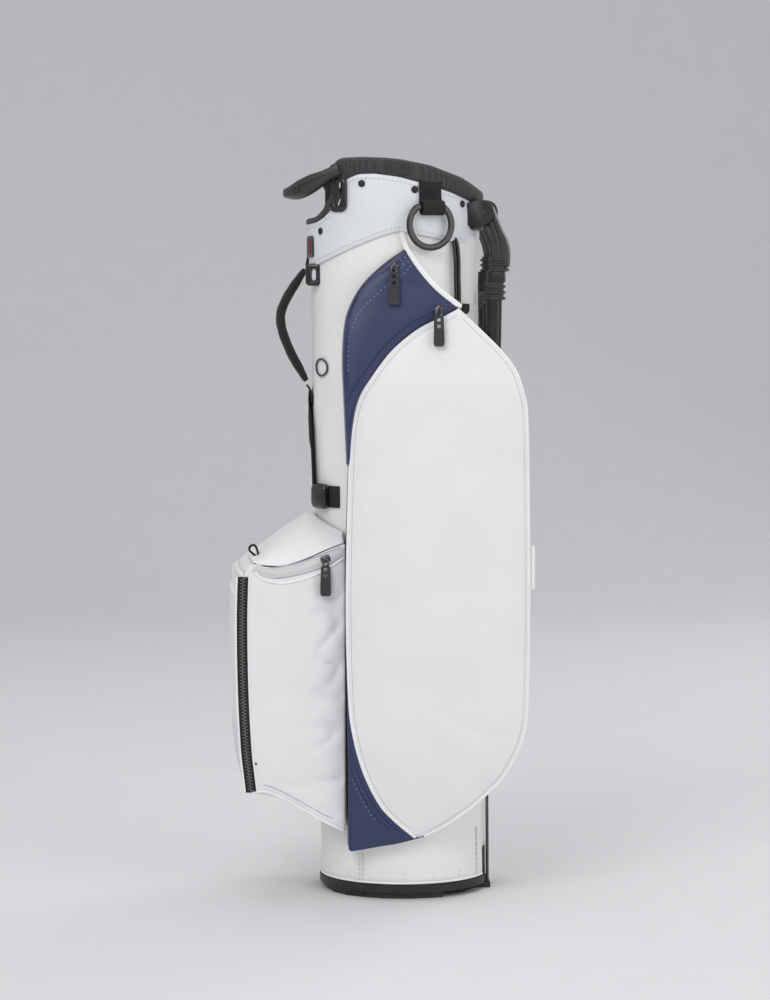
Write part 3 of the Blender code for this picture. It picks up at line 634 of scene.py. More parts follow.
def stud(name, turn, z, offset, radius, look, node=None):
    """A round rivet head: a low dome with a ring round it."""
    foot, along, out = trunk_frame(turn, z, offset)
    steps = ((0, 1), (0.7, 1), (1.2, 0.9), (1.1, 0.78), (0.8, 0.72), (1.2, 0.62), (1.55, 0.4), (1.7, 0.12))
    piece = stack(name, foot, along, UP, out, oval(2 * radius, 2 * radius, 20), steps, look, sharp=50)
    if node:
        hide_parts(node)


# ---------------------------------------------------------------- side pockets
def curve_of(points, steps=8):
    return spline([Vector((x, z, 0)) for x, z in points], steps)


def x_at(curve, z):
    """The x of a line that runs down from its first point, at height z."""
    if z >= curve[0].y:
        return curve[0].x
    for a, b in zip(curve, curve[1:]):
        if z >= b.y:
            return a.x + (b.x - a.x) * (a.y - z) / max(a.y - b.y, 1e-6)
    return curve[-1].x


SHARED = ((56, 703), (39, 694), (10, 680), (-20, 656), (-43, 627), (-60, 598), (-68, 563), (-71.5, 520))
APPAREL_LEFT = curve_of((*SHARED, (-74, 440), (-76, 363), (-74.5, 245), (-73, 150), (-72, 62)))
APPAREL_RIGHT = curve_of(((56, 703), (80, 680), (104, 656), (122, 632), (132, 603), (136, 574), (138, 470),
                          (139, 361), (138, 266), (136, 219), (129, 189), (111, 153), (93, 133), (70, 112),
                          (40, 91), (16, 79)))
APPAREL_FOOT = curve_of(((16, 79), (-14, 71), (-37, 67), (-71, 61)))
FACE_LEFT = curve_of(((56.5, 703), (39, 694), (10, 680), (-20, 656), (-43, 627), (-61, 598), (-69, 563),
                      (-72.5, 504), (-75.5, 363), (-73, 245), (-67, 197), (-55, 155), (-37, 119),
                      (-19.5, 99), (5.4, 77.5)))
VALUABLES_LEFT = curve_of(((-6, 773), (-30, 756.5), (-54, 734), (-69, 709), (-76, 684), (-78.5, 642),
                           (-77, 600), (-73.5, 520)))
VALUABLES_RIGHT = curve_of(((-6, 773), (10, 749), (30, 726), (51, 709), (54.5, 704.5), (38, 695.5),
                            (9, 681.5), (-21, 657.5), (-44, 628.5), (-61, 599.5), (-69, 564.5),
                            (-72.5, 520)), 6)
FOLD_LINE = curve_of(((-10, 757), (-30, 746.5), (-46, 736), (-59, 723.5), (-67, 711), (-73, 696)))
DASH_LINE = curve_of(((4, 759), (-9, 744.5), (-30, 730), (-46.5, 715), (-59, 702.5), (-66, 690),
                      (-71.3, 673.5), (-73.4, 653), (-73.8, 628)))


def near_line(curve, x, z, width):
    """1 on a line of points and 0 away from it."""
    if not curve[-1].y - 4 < z < curve[0].y + 4:
        return 0.0
    return math.exp(-(min((p.x - x) ** 2 + (p.y - z) ** 2 for p in curve)) / width ** 2)


def edge_y(x, z):
    """How far out a side pocket's edge stands."""
    high = min(1.0, max(0.0, (782 - z) / 160), max(0.0, (z - 20) / 160)) ** 0.7
    return -(94 + 18 * high) - 0.06 * x


def inner_face(x, z):
    """How far the trunk or the swinging leg reaches towards -Y at this place."""
    along = max(-0.999, min(0.999, (x - centre_x(z)) / TRUNK_RX))
    trunk = TRUNK_RY * math.sqrt(1 - along * along) + 2.2
    leg = 62.5 + 0.40 * (x - 94) if x > 40 else 0
    return -max(trunk, leg)


def swelling(left, right, top, foot, bulge, x, z):
    """How far a stuffed pocket's face stands out at a place between its edges."""
    share = min(1.0, max(0.0, (top - z) / (top - foot)))
    start, end = x_at(left, z), x_at(right, z)
    t = min(1.0, max(0.0, (x - start) / max(end - start, 1e-6)))
    return bulge * math.sin(math.pi * (0.015 + 0.97 * share)) ** 0.6 * (1 - (2 * t - 1) ** 4)


def apparel_y(x, z):
    """The large pocket's face, with the soft creases of a stuffed pocket."""
    y = edge_y(x, z) - swelling(APPAREL_LEFT, APPAREL_RIGHT, 703, 62, 16, x, z)
    start, end = x_at(APPAREL_LEFT, z), x_at(APPAREL_RIGHT, z)
    inside = min(1.0, max(0.0, (x - start) / 22), max(0.0, (end - x) / 22), max(0.0, (706 - z) / 30))
    low = fade(420 - z, 0, 260)
    rear = fade(x, 20, 125)
    wave = 1.3 * wrinkle((x, 0, z), 120, (1, 1, 0.7), 4) + 0.35 * wrinkle((x, 0, z), 45, (0.8, 1, 1), 8)
    drape = 1.5 * low * rear * folds((x + z * 0.55, 0, z), 60, (0.28, 1, 1.25), 21) ** 2
    tuck = 1.0 * low * folds((x - z * 0.35, 0, z), 74, (0.4, 1, 1.0), 33) ** 3
    return y - inside * (wave - drape - tuck)


def valuables_y(x, z):
    y = edge_y(x, z) - swelling(VALUABLES_LEFT, VALUABLES_RIGHT, 778, 520, 6, x, z)
    start, end = x_at(VALUABLES_LEFT, z), x_at(VALUABLES_RIGHT, z)
    inside = min(1.0, max(0.0, (x - start) / 12), max(0.0, (end - x) / 10))
    wave = 0.8 * wrinkle((x, 0, z), 42, (1, 1, 0.8), 14)
    pull = 1.2 * folds((x * 0.8 + z, 0, z), 34, (0.7, 1, 0.6), 27) ** 3 * fade(x, -40, 20)
    return y - inside * (wave - pull) + 1.2 * near_line(FOLD_LINE, x, z, 2.2)


def panel(name, left, right, top, foot, face, look, columns, step, foot_curve=None):
    """A cloth panel between two edges, row by row from its top to its foot."""
    count = max(4, int((top - foot) / step))
    rows = []
    for i in range(count + 1):
        z = top + (foot - top) * i / count
        start, end = x_at(left, z), x_at(right, z)
        if foot_curve and z < foot_curve[0].y:
            end = min(end, x_at(foot_curve, z))
        if end - start < 0.6:
            start, end = (start + end) / 2 - 0.3, (start + end) / 2 + 0.3
        row = []
        for j in range(columns + 1):
            t = j / columns
            t -= 0.12 * math.sin(2 * math.pi * t) / math.pi
            x = start + (end - start) * t
            row.append(Vector((x, face(x, z), z)))
        rows.append(row)
    return sheet_of(name, rows, look)


def inset(curve, distance):
    """A line that runs beside another one at a distance."""
    made = []
    for i, point in enumerate(curve):
        ahead, behind = curve[min(i + 1, len(curve) - 1)], curve[max(i - 1, 0)]
        along = (ahead - behind).normalized()
        made.append(point + Vector((-along.y, along.x, 0)) * distance)
    return made


def on_face(curve, face, lift=0.4):
    return [Vector((p.x, face(p.x, p.y) - lift, p.y)) for p in curve]


def gusset(name, curve, look):
    """The strip that joins a pocket's face to the trunk, along one stretch of its edge."""
    rows = []
    for i, p in enumerate(resample(curve, max(8, int(len(curve) * 1.2)))):
        front, back = edge_y(p.x, p.y), inner_face(p.x, p.y) + 0.6
        row = []
        for j in range(9):
            t = j / 8
            y = front + (back - front) * t
            wave = wrinkle((p.x, y, p.y), 30, (1, 1, 1), 17)
            row.append((p, y, 2.0 * math.sin(math.pi * t) * (0.4 + 0.6 * wave)))
        rows.append(row)
    made = []
    for i, row in enumerate(rows):
        ahead, behind = rows[min(i + 1, len(rows) - 1)][0][0], rows[max(i - 1, 0)][0][0]
        along = (ahead - behind).normalized()
        out = Vector((along.y, -along.x, 0))
        made.append([Vector((p.x - out.x * swell, y, p.y - out.y * swell)) for p, y, swell in row])
    return sheet_of(name, made, look)


def build_side_pockets():
    face = panel("apparel_face", FACE_LEFT, APPAREL_RIGHT, 702, 78, apparel_y, WHITE, 56, 4.2)
    corner = panel("apparel_corner", APPAREL_LEFT, FACE_LEFT, 250, 61.5, apparel_y, NAVY, 20, 4.0,
                   foot_curve=APPAREL_FOOT)
    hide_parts("apparel_pocket")
    right = gusset("apparel_gusset_rear", APPAREL_RIGHT, WHITE)
    left = gusset("apparel_gusset_front", APPAREL_LEFT[40:], NAVY)
    foot = gusset("apparel_gusset_foot", APPAREL_FOOT, WHITE)

    back = panel("apparel_back", APPAREL_LEFT, APPAREL_RIGHT, 700, 80, lambda x, z: inner_face(x, z) + 0.3,
                 WARM, 30, 8)

    def pipe(name, curve, lift=0.5, radius=1.6, look=PIPING, pocket=edge_y):
        path = resample([Vector((p.x, pocket(p.x, p.y) - lift, p.y)) for p in curve], max(8, len(curve)))
        tube(name, path, radius, look)

    # A thin strip laid along a line on a face; the dark navy ones are painted shade in folds and beside
    # edges.
    def crease(name, curve, face, lift, width, height, corner=0.3, look=NAVY_SHADE_AND_THREAD):
        sweep(name, on_face(curve, face, lift), slab(width, height, corner, 1), look, side=(1, 0, 0))

    pipe("piping_apparel_rear", APPAREL_RIGHT)
    pipe("piping_apparel_foot", APPAREL_FOOT, look=NAVY, radius=1.3)
    pipe("piping_apparel_front", FACE_LEFT, pocket=apparel_y, lift=0.6)
    pipe("piping_apparel_edge", APPAREL_LEFT[56:], look=NAVY, radius=1.2)
    for name, curve, distance in (("rear", APPAREL_RIGHT, -4.6), ("front", FACE_LEFT, 4.6)):
        curve = resample(inset(curve, distance)[3:-3], 150)
        crease("apparel_line_" + name, curve, apparel_y, 0.55, 0.7, 0.5, 0.2, THREAD)
    # Two dark navy strips across the corner panel: painted shade in its creases.
    for index, distance in enumerate((-7.0, -12.5)):
        curve = [p for p in inset(FACE_LEFT, distance)
                 if 84 < p.y < 236 and p.x > x_at(APPAREL_LEFT, p.y) + 2]
        crease(f"corner_line_{index}", curve, apparel_y, 0.5, 1.3, 0.6, 0.25)
    curve = [p for p in inset(FACE_LEFT, -16) if 95 < p.y < 205 and p.x > x_at(APPAREL_LEFT, p.y) + 2]
    stitches("corner_stitch", on_face(curve, apparel_y, 0.7), THREAD_LIGHT, dash=3.4, gap=2.4, radius=0.35,
             side=(1, 0, 0))

    face = panel("valuables_face", VALUABLES_LEFT, VALUABLES_RIGHT, 772, 521, valuables_y, NAVY, 40, 3.6)
    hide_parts("valuables_pocket")
    gusset("valuables_gusset_front", VALUABLES_LEFT, NAVY)
    gusset("valuables_gusset_rear", [p for p in VALUABLES_RIGHT if p.y > 704], WHITE)
    pipe("valuables_edge_front", VALUABLES_LEFT, look=NAVY, radius=1.3)
    band = [Vector((-10, -94.5, 794)), Vector((-7, -95, 784)),
            *[Vector((p.x + 1.8, edge_y(p.x, p.y) - 0.4, p.y + 1.8)) for p in VALUABLES_RIGHT if p.y > 704]]
    sweep("valuables_band", resample(spline(band, 3), 60), slab(6.4, 2.4, 1.1, 3), PIPING, side=(0.7, 0, 0.7))
    # A thin dark navy line just under the white band: painted shadow of the band on the navy face.
    path = [p + Vector((-3.2, -0.9, -3.2)) for p in spline(band[2:-1], 3)]
    tube("valuables_band_line", resample(path, 50), 0.5, NAVY_SHADE_AND_THREAD)
    # Dark navy strips along the fold and along the front edge: painted shade in the creases.
    crease("valuables_fold", FOLD_LINE, valuables_y, 0.1, 1.2, 0.9)
    crease("valuables_edge_fold", inset(VALUABLES_LEFT, 2.4)[6:-8], valuables_y, 0.2, 1.1, 0.8)
    stitches("valuables_stitch", on_face(DASH_LINE, valuables_y, 0.65), THREAD_LIGHT, dash=3.2, gap=2.4,
             radius=0.42, side=(1, 0, 0))
    for index, ends in enumerate((((-12.5, 762.5), (-6, 753)), ((-7, 765.5), (-0.5, 756)),
                                  ((42, 717), (50, 707.5)))):
        path = on_face(resample([Vector((x, z, 0)) for x, z in ends], 9), valuables_y, 0.7)
        stitches(f"valuables_bar_{index}", path, THREAD_LIGHT, dash=2.6, gap=1.6, radius=0.42, side=(1, 0, 0))
    # Two dark navy strips on the valuables face beside the apparel zip: painted shade along the zip.
    for index, distance in enumerate((-3.6, -11.5)):
        curve = [p for p in inset(FACE_LEFT, distance) if 545 < p.y < 716 - 8 * index
                 and p.x > x_at(VALUABLES_LEFT, p.y) + 2]
        crease(f"apparel_zip_line_{index}", curve, valuables_y, 0.5, 1.3, 0.8)
    plate("side_tab", [(0, -26), (4, -26), (4, 26), (0, 26)], (142, edge_y(139, 400) + 2, 400), (1, 0, 0.05),
          (0, 0, 1), 1.6, WHITE, bevel=0.5)


# ---------------------------------------------------------------- ball pocket
BALL_SIDE = 88.0
LID_SEAM = ((-184, 403), (-172, 400), (-150, 399.5), (-125, 407), (-100, 418))
LID_CROWN = ((-190, 408), (-180, 411), (-160, 429), (-139, 444), (-119, 456.5), (-105, 458), (-80, 455))
SIDE_LEFT = curve_of(((-184, 403), (-194, 394), (-199, 382), (-202.5, 350), (-203, 300), (-201, 241),
                      (-197, 180), (-188, 131)))
SEAM_LINE = curve_of((*LID_SEAM, (-80, 426)))
FOOT_LINE = curve_of(((-188, 131), (-166, 130), (-131, 112), (-104, 96), (-79, 84)))
LID_PIPING = curve_of(((-183, 394), (-176, 386), (-162, 381.5), (-144, 381), (-117, 388), (-96, 398),
                       (-79, 409)))
LID_LOW = curve_of(((-181, 393.5), (-163, 386.5), (-144, 387.6), (-117, 394), (-96, 402), (-79.5, 412)))
LID_BAND = curve_of(((-184, 399.5), (-167, 392.5), (-144, 395), (-117, 402.2), (-96, 410.5), (-80, 418)))
LID_HIGH = curve_of(((-182, 402.5), (-171, 398), (-144, 401.5), (-117, 409.5), (-96, 417.5), (-82, 423.5)))
BALL_TRACK = curve_of(((-188.7, 131.5), (-191.5, 155), (-194.3, 181), (-197.2, 235), (-198.6, 288),
                       (-198.8, 342), (-197.5, 388)))


def ball_back(y, z):
    """The x at which the ball pocket meets the trunk."""
    along = min(0.999, abs(y) / TRUNK_RY)
    return min(centre_x(z) - TRUNK_RX * math.sqrt(1 - along * along) - 3.2, -78.0)


def seam_height(x):
    return read_height([(p.x, p.y) for p in SEAM_LINE], x)


def foot_height(x):
    return read_height([(p.x, p.y) for p in FOOT_LINE], x)


def side_y(x, z):
    """The flat side of the ball pocket: nearly plane, slack towards the trunk and the foot."""
    left, right = x_at(SIDE_LEFT, z), -76.5
    inside = min(1.0, max(0.0, (x - left - 12) / 10), max(0.0, (right - x) / 7),
                 max(0.0, (seam_height(x) - z - 14) / 12),
                 max(0.0, (z - foot_height(x)) / 12))
    wave = 1.4 + 1.3 * wrinkle((x, 0, z), 70, (1, 1, 0.8), 41) + 0.4 * wrinkle((x, 0, z), 26, (1, 1, 0.7), 43)
    dents = 5.0 * fade(x, -135, -86) * folds((x, 0, z - 0.3 * x), 46, (0.5, 1, 1.0), 47) ** 3
    dents += 1.4 * fade(220 - z, 0, 90) * folds((x + z, 0, z), 60, (0.6, 1, 0.9), 51) ** 3
    return -BALL_SIDE - inside * (wave - dents)


def ball_ring(y):
    """The pocket's outline at one distance from its middle."""
    share = max(0.0, 1 - (y / BALL_SIDE) ** 2)
    bulge = 8 * share ** 0.6
    base = [(ball_back(y, 84), 84), (-104, 96), (-131, 112), (-166 - bulge * 0.8, 130 - 12 * share),
            (-188 - bulge * 0.8, 131 - 10 * share)]
    front = [(-197, 180), (-201, 241), (-203, 300), (-202.5, 350), (-199, 382 - 4 * share), (-193, 394)]
    return base, [(x - bulge, z) for x, z in front], (-184 - bulge * 0.6, 403 + 4 * share), share


def build_ball_pocket():
    steps = [BALL_SIDE * math.sin(math.pi / 2 * (i / 20 - 1)) for i in range(41)]
    front_rows, foot_rows, back_rows, lid_rows, patch_rows = [], [], [], [], []
    for y in steps:
        base, front, seam, share = ball_ring(y)
        curve = resample(spline([Vector((x, y, z)) for x, z in (base[4], *front, seam)], 8), 46)
        row = []
        for i, p in enumerate(curve):
            give = min(1.0, (1 - abs(y) / BALL_SIDE) * 6) * min(1.0, i / 4, (45 - i) / 8)
            wave = 1.6 * wrinkle(p, 44, (1, 1, 0.8), 61) + 0.5 * wrinkle(p, 18, (1, 1, 1), 63)
            row.append(p - Vector((give * wave, 0, 0)))
        front_rows.append(row)
        foot_rows.append(resample(spline([Vector((x, y, z)) for x, z in base], 6), 24))
        line = [Vector((ball_back(y, z) + 0.2, y, z)) for z in (84, 170, 260, 340, 425)]
        back_rows.append(resample(line, 16))
        row = [Vector((seam[0] - 0.6, y, seam[1] + 0.8))]
        end = ball_back(y, 456)
        for i in range(36):
            x = seam[0] + (end - seam[0]) * i / 35
            under = seam_height(x) + 4 * share + 1.5
            rise = max(0.0, read_height(LID_CROWN, x) - under) * share ** (0.5 + 0.6 * i / 35)
            p = Vector((x, y, under + rise))
            give = min(1.0, share * 4) * min(1.0, i / 4)
            wave = 0.9 * wrinkle(p, 40, (1, 1, 1), 71) - 0.8 * folds(p, 55, (1, 0.4, 1), 73) ** 3
            row.append(p + UP * give * wave)
        lid_rows.append(row)
        patch_rows.append([Vector((x_at(SIDE_LEFT, z) - 8 * share ** 0.6 - (1.7 if k else 0.6), y * 0.97, z))
                           for k, z in enumerate(range(143, 204, 10))])
    body = sheet_of("ball_front", front_rows, WHITE, 1.3)
    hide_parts("ball_pocket")
    foot = sheet_of("ball_foot", foot_rows, WARM, 1.3)
    back = sheet_of("ball_back", back_rows, WARM, 1.3)
    lid = sheet_of("lid", lid_rows, WHITE, 1.3)
    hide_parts("accessory_pocket")
    sheet_of("ball_front_patch", patch_rows, LEATHER, 1.4)
    front = [row[42] + Vector((-0.9, 0, 0.9)) for row in front_rows]
    sweep("lid_zip_tape_front", front, slab(11, 1.2, 0.4, 1), TAPE_WHITE, side=(0.55, 0, 0.8))
    zip_chain("lid_zip_chain_front", [p + Vector((-0.7, 0, 0.5)) for p in front], (-0.8, 0, 0.55), 2.6, 3.2,
              PIPING)
    tube("lid_piping_front", [row[38] + Vector((-1.0, 0, 0)) for row in front_rows], 1.5, PIPING,
         side=(1, 0, 0))
    loop = [(-177, 406), (-183, 411), (-188.5, 416), (-188, 421), (-183, 422.5), (-179.6, 417), (-178, 408)]
    tube("lid_cord_loop", spline([Vector((x, -52, z)) for x, z in loop], 5), 1.4, WEBBING)

    for name, side in (("near", 1), ("far", -1)):
        rows = []
        for i in range(61):
            row = []
            for j in range(41):
                base_x = -188 + 111.5 * j / 40
                low, high = foot_height(base_x), seam_height(max(base_x, -184))
                z = low + (high - low) * i / 60
                edge, x = x_at(SIDE_LEFT, z), base_x
                if j < 12:
                    x = edge + (-188 + 111.5 * 12 / 40 - edge) * j / 12
                row.append(Vector((x, side_y(x, z) * side, z)))
            rows.append(row)
        sheet_of("ball_side_" + name, rows, WHITE, 1.3)

        def on_side(curve, lift, rise=0.0, side=side):
            return [Vector((p.x, (side_y(p.x, p.y + rise) - lift) * side, p.y + rise)) for p in curve]

        tube("lid_piping_" + name, on_side(LID_PIPING, 0.9), 1.6, PIPING)
        sweep("lid_zip_tape_" + name, on_side(LID_BAND, 0.9), slab(1.2, 11.5, 0.4, 1), TAPE_WHITE)
        zip_chain("lid_zip_chain_" + name, on_side(LID_BAND, 1.6), (0, -side, 0), 2.8, 3.2, PIPING)
        # The grey lines along both edges of the lid's zip tape are painted shadow, standing in for the gaps
        # beside the tape.
        for tag, curve in (("low", LID_LOW), ("high", LID_HIGH)):
            sweep(f"lid_shadow_line_{tag}_{name}", on_side(curve, 0.7), slab(0.8, 1.5, 0.3, 1), THREAD)
        tube("ball_piping_foot_" + name, on_side(FOOT_LINE, 0.6), 1.6, PIPING)
        sweep("ball_line_foot_" + name, on_side(FOOT_LINE[6:], 0.6, 8), slab(0.8, 1.0, 0.3, 1), THREAD)

        track = [Vector((p.x, -89.6 * side, p.y)) for p in BALL_TRACK]
        tape = sweep("ball_zip_tape_" + name, track, slab(1.4, 13.0, 0.5, 1), TAPE)
        if side > 0:
            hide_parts("ball_zip")
        zip_chain("ball_zip_chain_" + name, [p + NEAR * 0.9 * side for p in track], (0, -side, 0), 3.4, 3.8,
                  TEETH)
        for index, shift in enumerate((-7.2, 7.4)):
            path = [p + Vector((shift, 0.4 * side, 0)) for p in track]
            tube(f"ball_zip_piping_{name}_{index}", path, 1.4, PIPING)
    spot = Vector((-183, side_y(-183, 165) - 0.2, 165))
    stack("ball_side_eyelet", spot, Vector((1, 0, 0)), UP, NEAR, oval(3.4, 3.4, 16),
          ((0, 1), (0.7, 1), (1.0, 0.7)), PLASTIC)


def zip_chain(name, path, out, width, pitch, look):
    """Two rows of teeth that mesh along a path."""
    path = [Vector(p) for p in path]
    total = sum((b - a).length for a, b in zip(path, path[1:]))
    count = int(total / pitch)
    marks = resample(path, count * 2 + 1)
    out = Vector(out)
    wide, long = width * 0.62, pitch * 0.2
    ring = ((-wide, -long), (wide, -long), (wide, long), (-wide, long))
    parts = []
    for i in range(count * 2):
        along = (marks[i + 1] - marks[i]).normalized()
        side = along.cross(out).normalized()
        sign = 1 if i % 2 else -1
        middle = marks[i] + side * sign * width * 0.35
        parts.append(loft_parts([ring_at(middle - out * 0.5, side, along, ring),
                                 ring_at(middle + out * 0.9, side * 0.8, along * 0.75, ring)]))
    joined(name, parts, look)


# ---------------------------------------------------------------- zip sliders and pullers
def build_zips():
    """Sliders and pullers take their places from the frame's own pieces."""
    for name in ("valuables", "apparel", "ball", "accessory"):
        low, high = cad(name + "_slider")
        middle = (low + high) / 2
        slide_body, pull_body = name + "_slide_body", name + "_pull_body"
        away = NEAR if name != "ball" else -NEAR
        along = Vector({"valuables": (-0.58, 0, -0.81), "apparel": (-0.82, 0, -0.57), "ball": (0, 0, -1),
                        "accessory": (-0.96, 0, -0.26)}[name]).normalized()
        side = along.cross(away)
        steps = ((-1.7, 0.9, 0.92), (-1.0, 1, 1), (0.3, 1, 1), (1.2, 0.75, 0.8), (1.7, 0.4, 0.5))
        rings = [ring_at(middle + away * lift, along * long, side * wide, slab(11.5, 8.0, 2.6, 3))
                 for lift, wide, long in steps]
        piece = loft(name + "_zip_slider", rings, METAL, slide_body, sharp=50)
        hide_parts(name + "_slider")
        arch = ((-4.5, 0.9), (-3.6, 3.4), (0, 4.4), (3.6, 3.4), (4.5, 0.9))
        bridge = spline(ring_at(middle, along, away, arch), 5)
        sweep(name + "_zip_bridge", bridge, slab(2.6, 1.3, 0.5, 2), METAL, side=side, body=slide_body)

        low, high = cad(name + "_puller")
        length = high.z - low.z
        deep_top, deep_low = top_depth(name, low, high)
        hang = (Vector((0, deep_low - deep_top, -length))).normalized()
        out = Vector((0, -hang.z, hang.y))
        out = out if out.y * away.y > 0 else -out
        across = Vector((-away.y, 0, 0))
        hinge = Vector(((low.x + high.x) / 2, deep_top, high.z - 2))
        ring = ring_at(hinge + hang * 4.6, across, hang, oval(6.2, 10.4, 20))
        sweep(name + "_pull_ring", ring, oval(2.0, 2.0, 8), METAL, side=out, body=pull_body, closed=True)
        half = [(3.0, 7.4), (4.9, 8.4), (5.6, 10.5), (6.4, length - 4), (5.8, length - 1.2), (4.2, length)]
        outline = [(-a, b) for a, b in half] + [(a, b) for a, b in reversed(half)]
        body = plate(name + "_pull_grip", [(a, -b) for a, b in outline], hinge - out * 1.35, across, -hang,
                     3.0, RUBBER, pull_body, bevel=0)
        cuts = [cutter_plate(slab(4.2, 4.4, 0.8, 2), hinge + hang * b - out * 4, across, -hang, 8)
                for b in (12.6, 20.2)]
        spot = hinge + hang * (length / 2 + 11.4) + out * 1.1
        cuts.append(cutter_plate(slab(8.6, length - 29, 1.6, 2), spot, across, -hang, 3))
        carve(body, cuts)
        round_edges(body, 0.4, 2)
        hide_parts(name + "_puller")
        bar = ((-2.6, -0.6), (2.6, -0.6), (2.6, 0.6), (-2.6, 0.6))
        bars = [loft_parts([ring_at(hinge + hang * b + out * d, across, hang, bar) for d in (0.9, 1.5)])
                for b in (length - 7, length - 10.5, length - 14)]
        joined(name + "_pull_ribs", bars, RUBBER, pull_body)


def top_depth(name, low, high):
    """Where a puller's middle line starts and ends along Y."""
    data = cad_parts[name + "_puller"].data
    tops = [v.co.y / MM for v in data.vertices if v.co.z / MM > high.z - 5]
    feet = [v.co.y / MM for v in data.vertices if v.co.z / MM < low.z + 5]
    return sum(tops) / len(tops), sum(feet) / len(feet)


# ---------------------------------------------------------------- small parts of the cuff
def build_handles():
    half = [(-82, -71, 867.5), (-93, -69, 863), (-108, -64, 855), (-122, -54, 848), (-134, -30, 843.5)]
    grip = spline([*half, (-139, 0, 842.5), *[(x, -y, z) for x, y, z in half[::-1]]], 6)

    def full(t):
        end = min(t, 1 - t)
        return (14 + 7 * fade(end, 0.1, 0.25) - 9 * fade(end, 0.3, 0.47)) / 17.5, 1.0

    handle = sweep("lift_handle_grip", grip, slab(17.5, 14.0, 5.4, 4), CHARCOAL, side=(0, 0, 1), size=full)
    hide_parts("lift_handle")
    cuts = []
    marks = resample(grip, 101)

    def at_grip(k, side):
        """The direction of the handle at a mark, and the one that leads out of it to a side."""
        around = (marks[k + 1] - marks[k - 1]).normalized()
        out = around.cross(UP).normalized()
        return around, out if out.y * side > 0 else -out

    for side in (-1, 1):
        for i in range(5):
            k = 24 + 4 * i if side < 0 else 76 - 4 * i
            around, out = at_grip(k, side)
            lean = (UP + around * 0.3 * side).normalized()
            cuts.append(slot_cutter(marks[k] - UP * 2.6, around, lean, out, 3.2, 8.0, 5.3))
    carve(handle, cuts)
    for index, side in enumerate((-1, 1)):
        line = []
        for k in range(8, 44) if side < 0 else range(57, 93):
            around, out = at_grip(k, side)
            line.append(marks[k] + out * 6.9 + UP * 1.5)
        tube(f"lift_handle_line_{index}", line, 0.6, PLASTIC, side=(0, 0, 1))

    for name, turn in (("near", 229.5), ("far", 130.5)):
        foot, along, out = trunk_frame(turn, CLIP_Z, LEATHER_OUT)
        across = along if along.x > 0 else -along
        base = [(-16, 16), (-14, 20), (-9.5, 21.5), (6, 21.5), (9, 19), (10, 14), (10, -13), (8.5, -18),
                (4, -21), (-7, -21), (-12.5, -19), (-15, -14), (-12.5, -8), (-12.5, 9), (-15.5, 12)]
        back = wall_plate("handle_clip_plate_" + name, base, foot, across, out, 2.4, CHARCOAL, bevel=0.7)
        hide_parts("handle_clip_" + name)
        steps = ((2.2, 1), (4.2, 1), (5.2, 0.95), (5.8, 0.8))
        body = stack("handle_clip_block_" + name, foot + across * 2.4, across, UP, out,
                     slab(16.5, 37, 5, 4), steps, GLOSS, sharp=45)
        tilt = (UP + across * 0.35).normalized()
        holes = [(2.8, 10.5, UP, 3.4, 7.5), (2.0, -9.5, tilt, 3.4, 9.0)]
        carve(body, [slot_cutter(foot + across * a + UP * b, across, lean, out, wide, tall, 3.4)
                     for a, b, lean, wide, tall in holes])
        for index, (a, b, lean, wide, tall) in enumerate(holes):
            ring = slab(wide + 0.2, tall + 0.2, wide * 0.4, 3)
            stack(f"handle_clip_gap_{name}_{index}", foot + across * a + UP * b, across, lean, out, ring,
                  ((2.6, 1), (3.9, 1)), LEATHER)
        for z in (15.5, -15.0):
            ring = ring_at(foot + across * -9.6 + UP * z + out * 2.6, across, UP, oval(6, 6, 18))
            sweep(f"handle_clip_eye_{name}_{'top' if z > 0 else 'low'}", ring, oval(1.8, 1.8, 6), GLOSS,
                  side=out, closed=True)

    foot, along, out = trunk_frame(194, 778, 3.5)
    across = along if along.x > 0 else -along
    badge = wall_plate("badge_frame", slab(22, 25.5, 4.5, 4), foot, across, out, 2.0, GLOSS)
    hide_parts("cuff_badge")
    wall_plate("badge_face", slab(12.5, 19, 3.0, 4), foot + out * 1.5, across, out, 0.9, BADGE, bevel=0.3)
    foot = Vector((-110.5, -30, 744.5))
    across, out = Vector((0.955, -0.297, 0)), Vector((-0.297, -0.955, 0))
    clasp = stack("handle_clasp", foot, across, UP, out, slab(18.5, 26.5, 5, 4),
                  ((-2, 1), (3.2, 1), (4.4, 0.93), (4.9, 0.8)), GLOSS, sharp=45)
    carve(clasp, [slot_cutter(foot + across * 1.2, across, UP, out, 5.6, 14, 2.4)])
    stack("handle_clasp_gap", foot + across * 1.2, across, UP, out, slab(5.8, 14.2, 2.4, 3),
          ((1.2, 1), (2.7, 1)), LEATHER)
    out = trunk_frame(205, 634)[2]
    turns = [2 * math.pi * i / 44 for i in range(44)]
    ring = [trunk_frame(205 + 8.0 * math.cos(t), 634 + 10.0 * math.sin(t), 1.4)[0] for t in turns]
    tube("eyelet_ring", ring, 1.25, NAVY, side=(0.5, 1, 0), closed=True)
    stitches("eyelet_stitch", [p + out * 0.9 for p in ring + ring[:1]], NAVY_SHADE_AND_THREAD, dash=1.6, gap=0.7,
             radius=0.6, side=out)


def slot_cutter(middle, across, up, out, width, height, lift):
    """A round-ended cutter that opens a slot from a little above the lift outwards."""
    ring = slab(width, height, width * 0.45, 3)
    rings = [ring_at(middle + out * (lift + more), across, up, ring) for more in (-0.2, 3)]
    return make("cutter", *loft_parts(rings), plain, None)


def wall_plate(name, outline, foot, across, out, depth, look, bevel=0.6):
    """A plate on the cuff, whose outline runs along a level direction and upwards."""
    sign = 1 if across.cross(UP).dot(out) > 0 else -1
    return plate(name, outline[::sign], foot, across, UP, depth * sign, look, bevel=bevel)


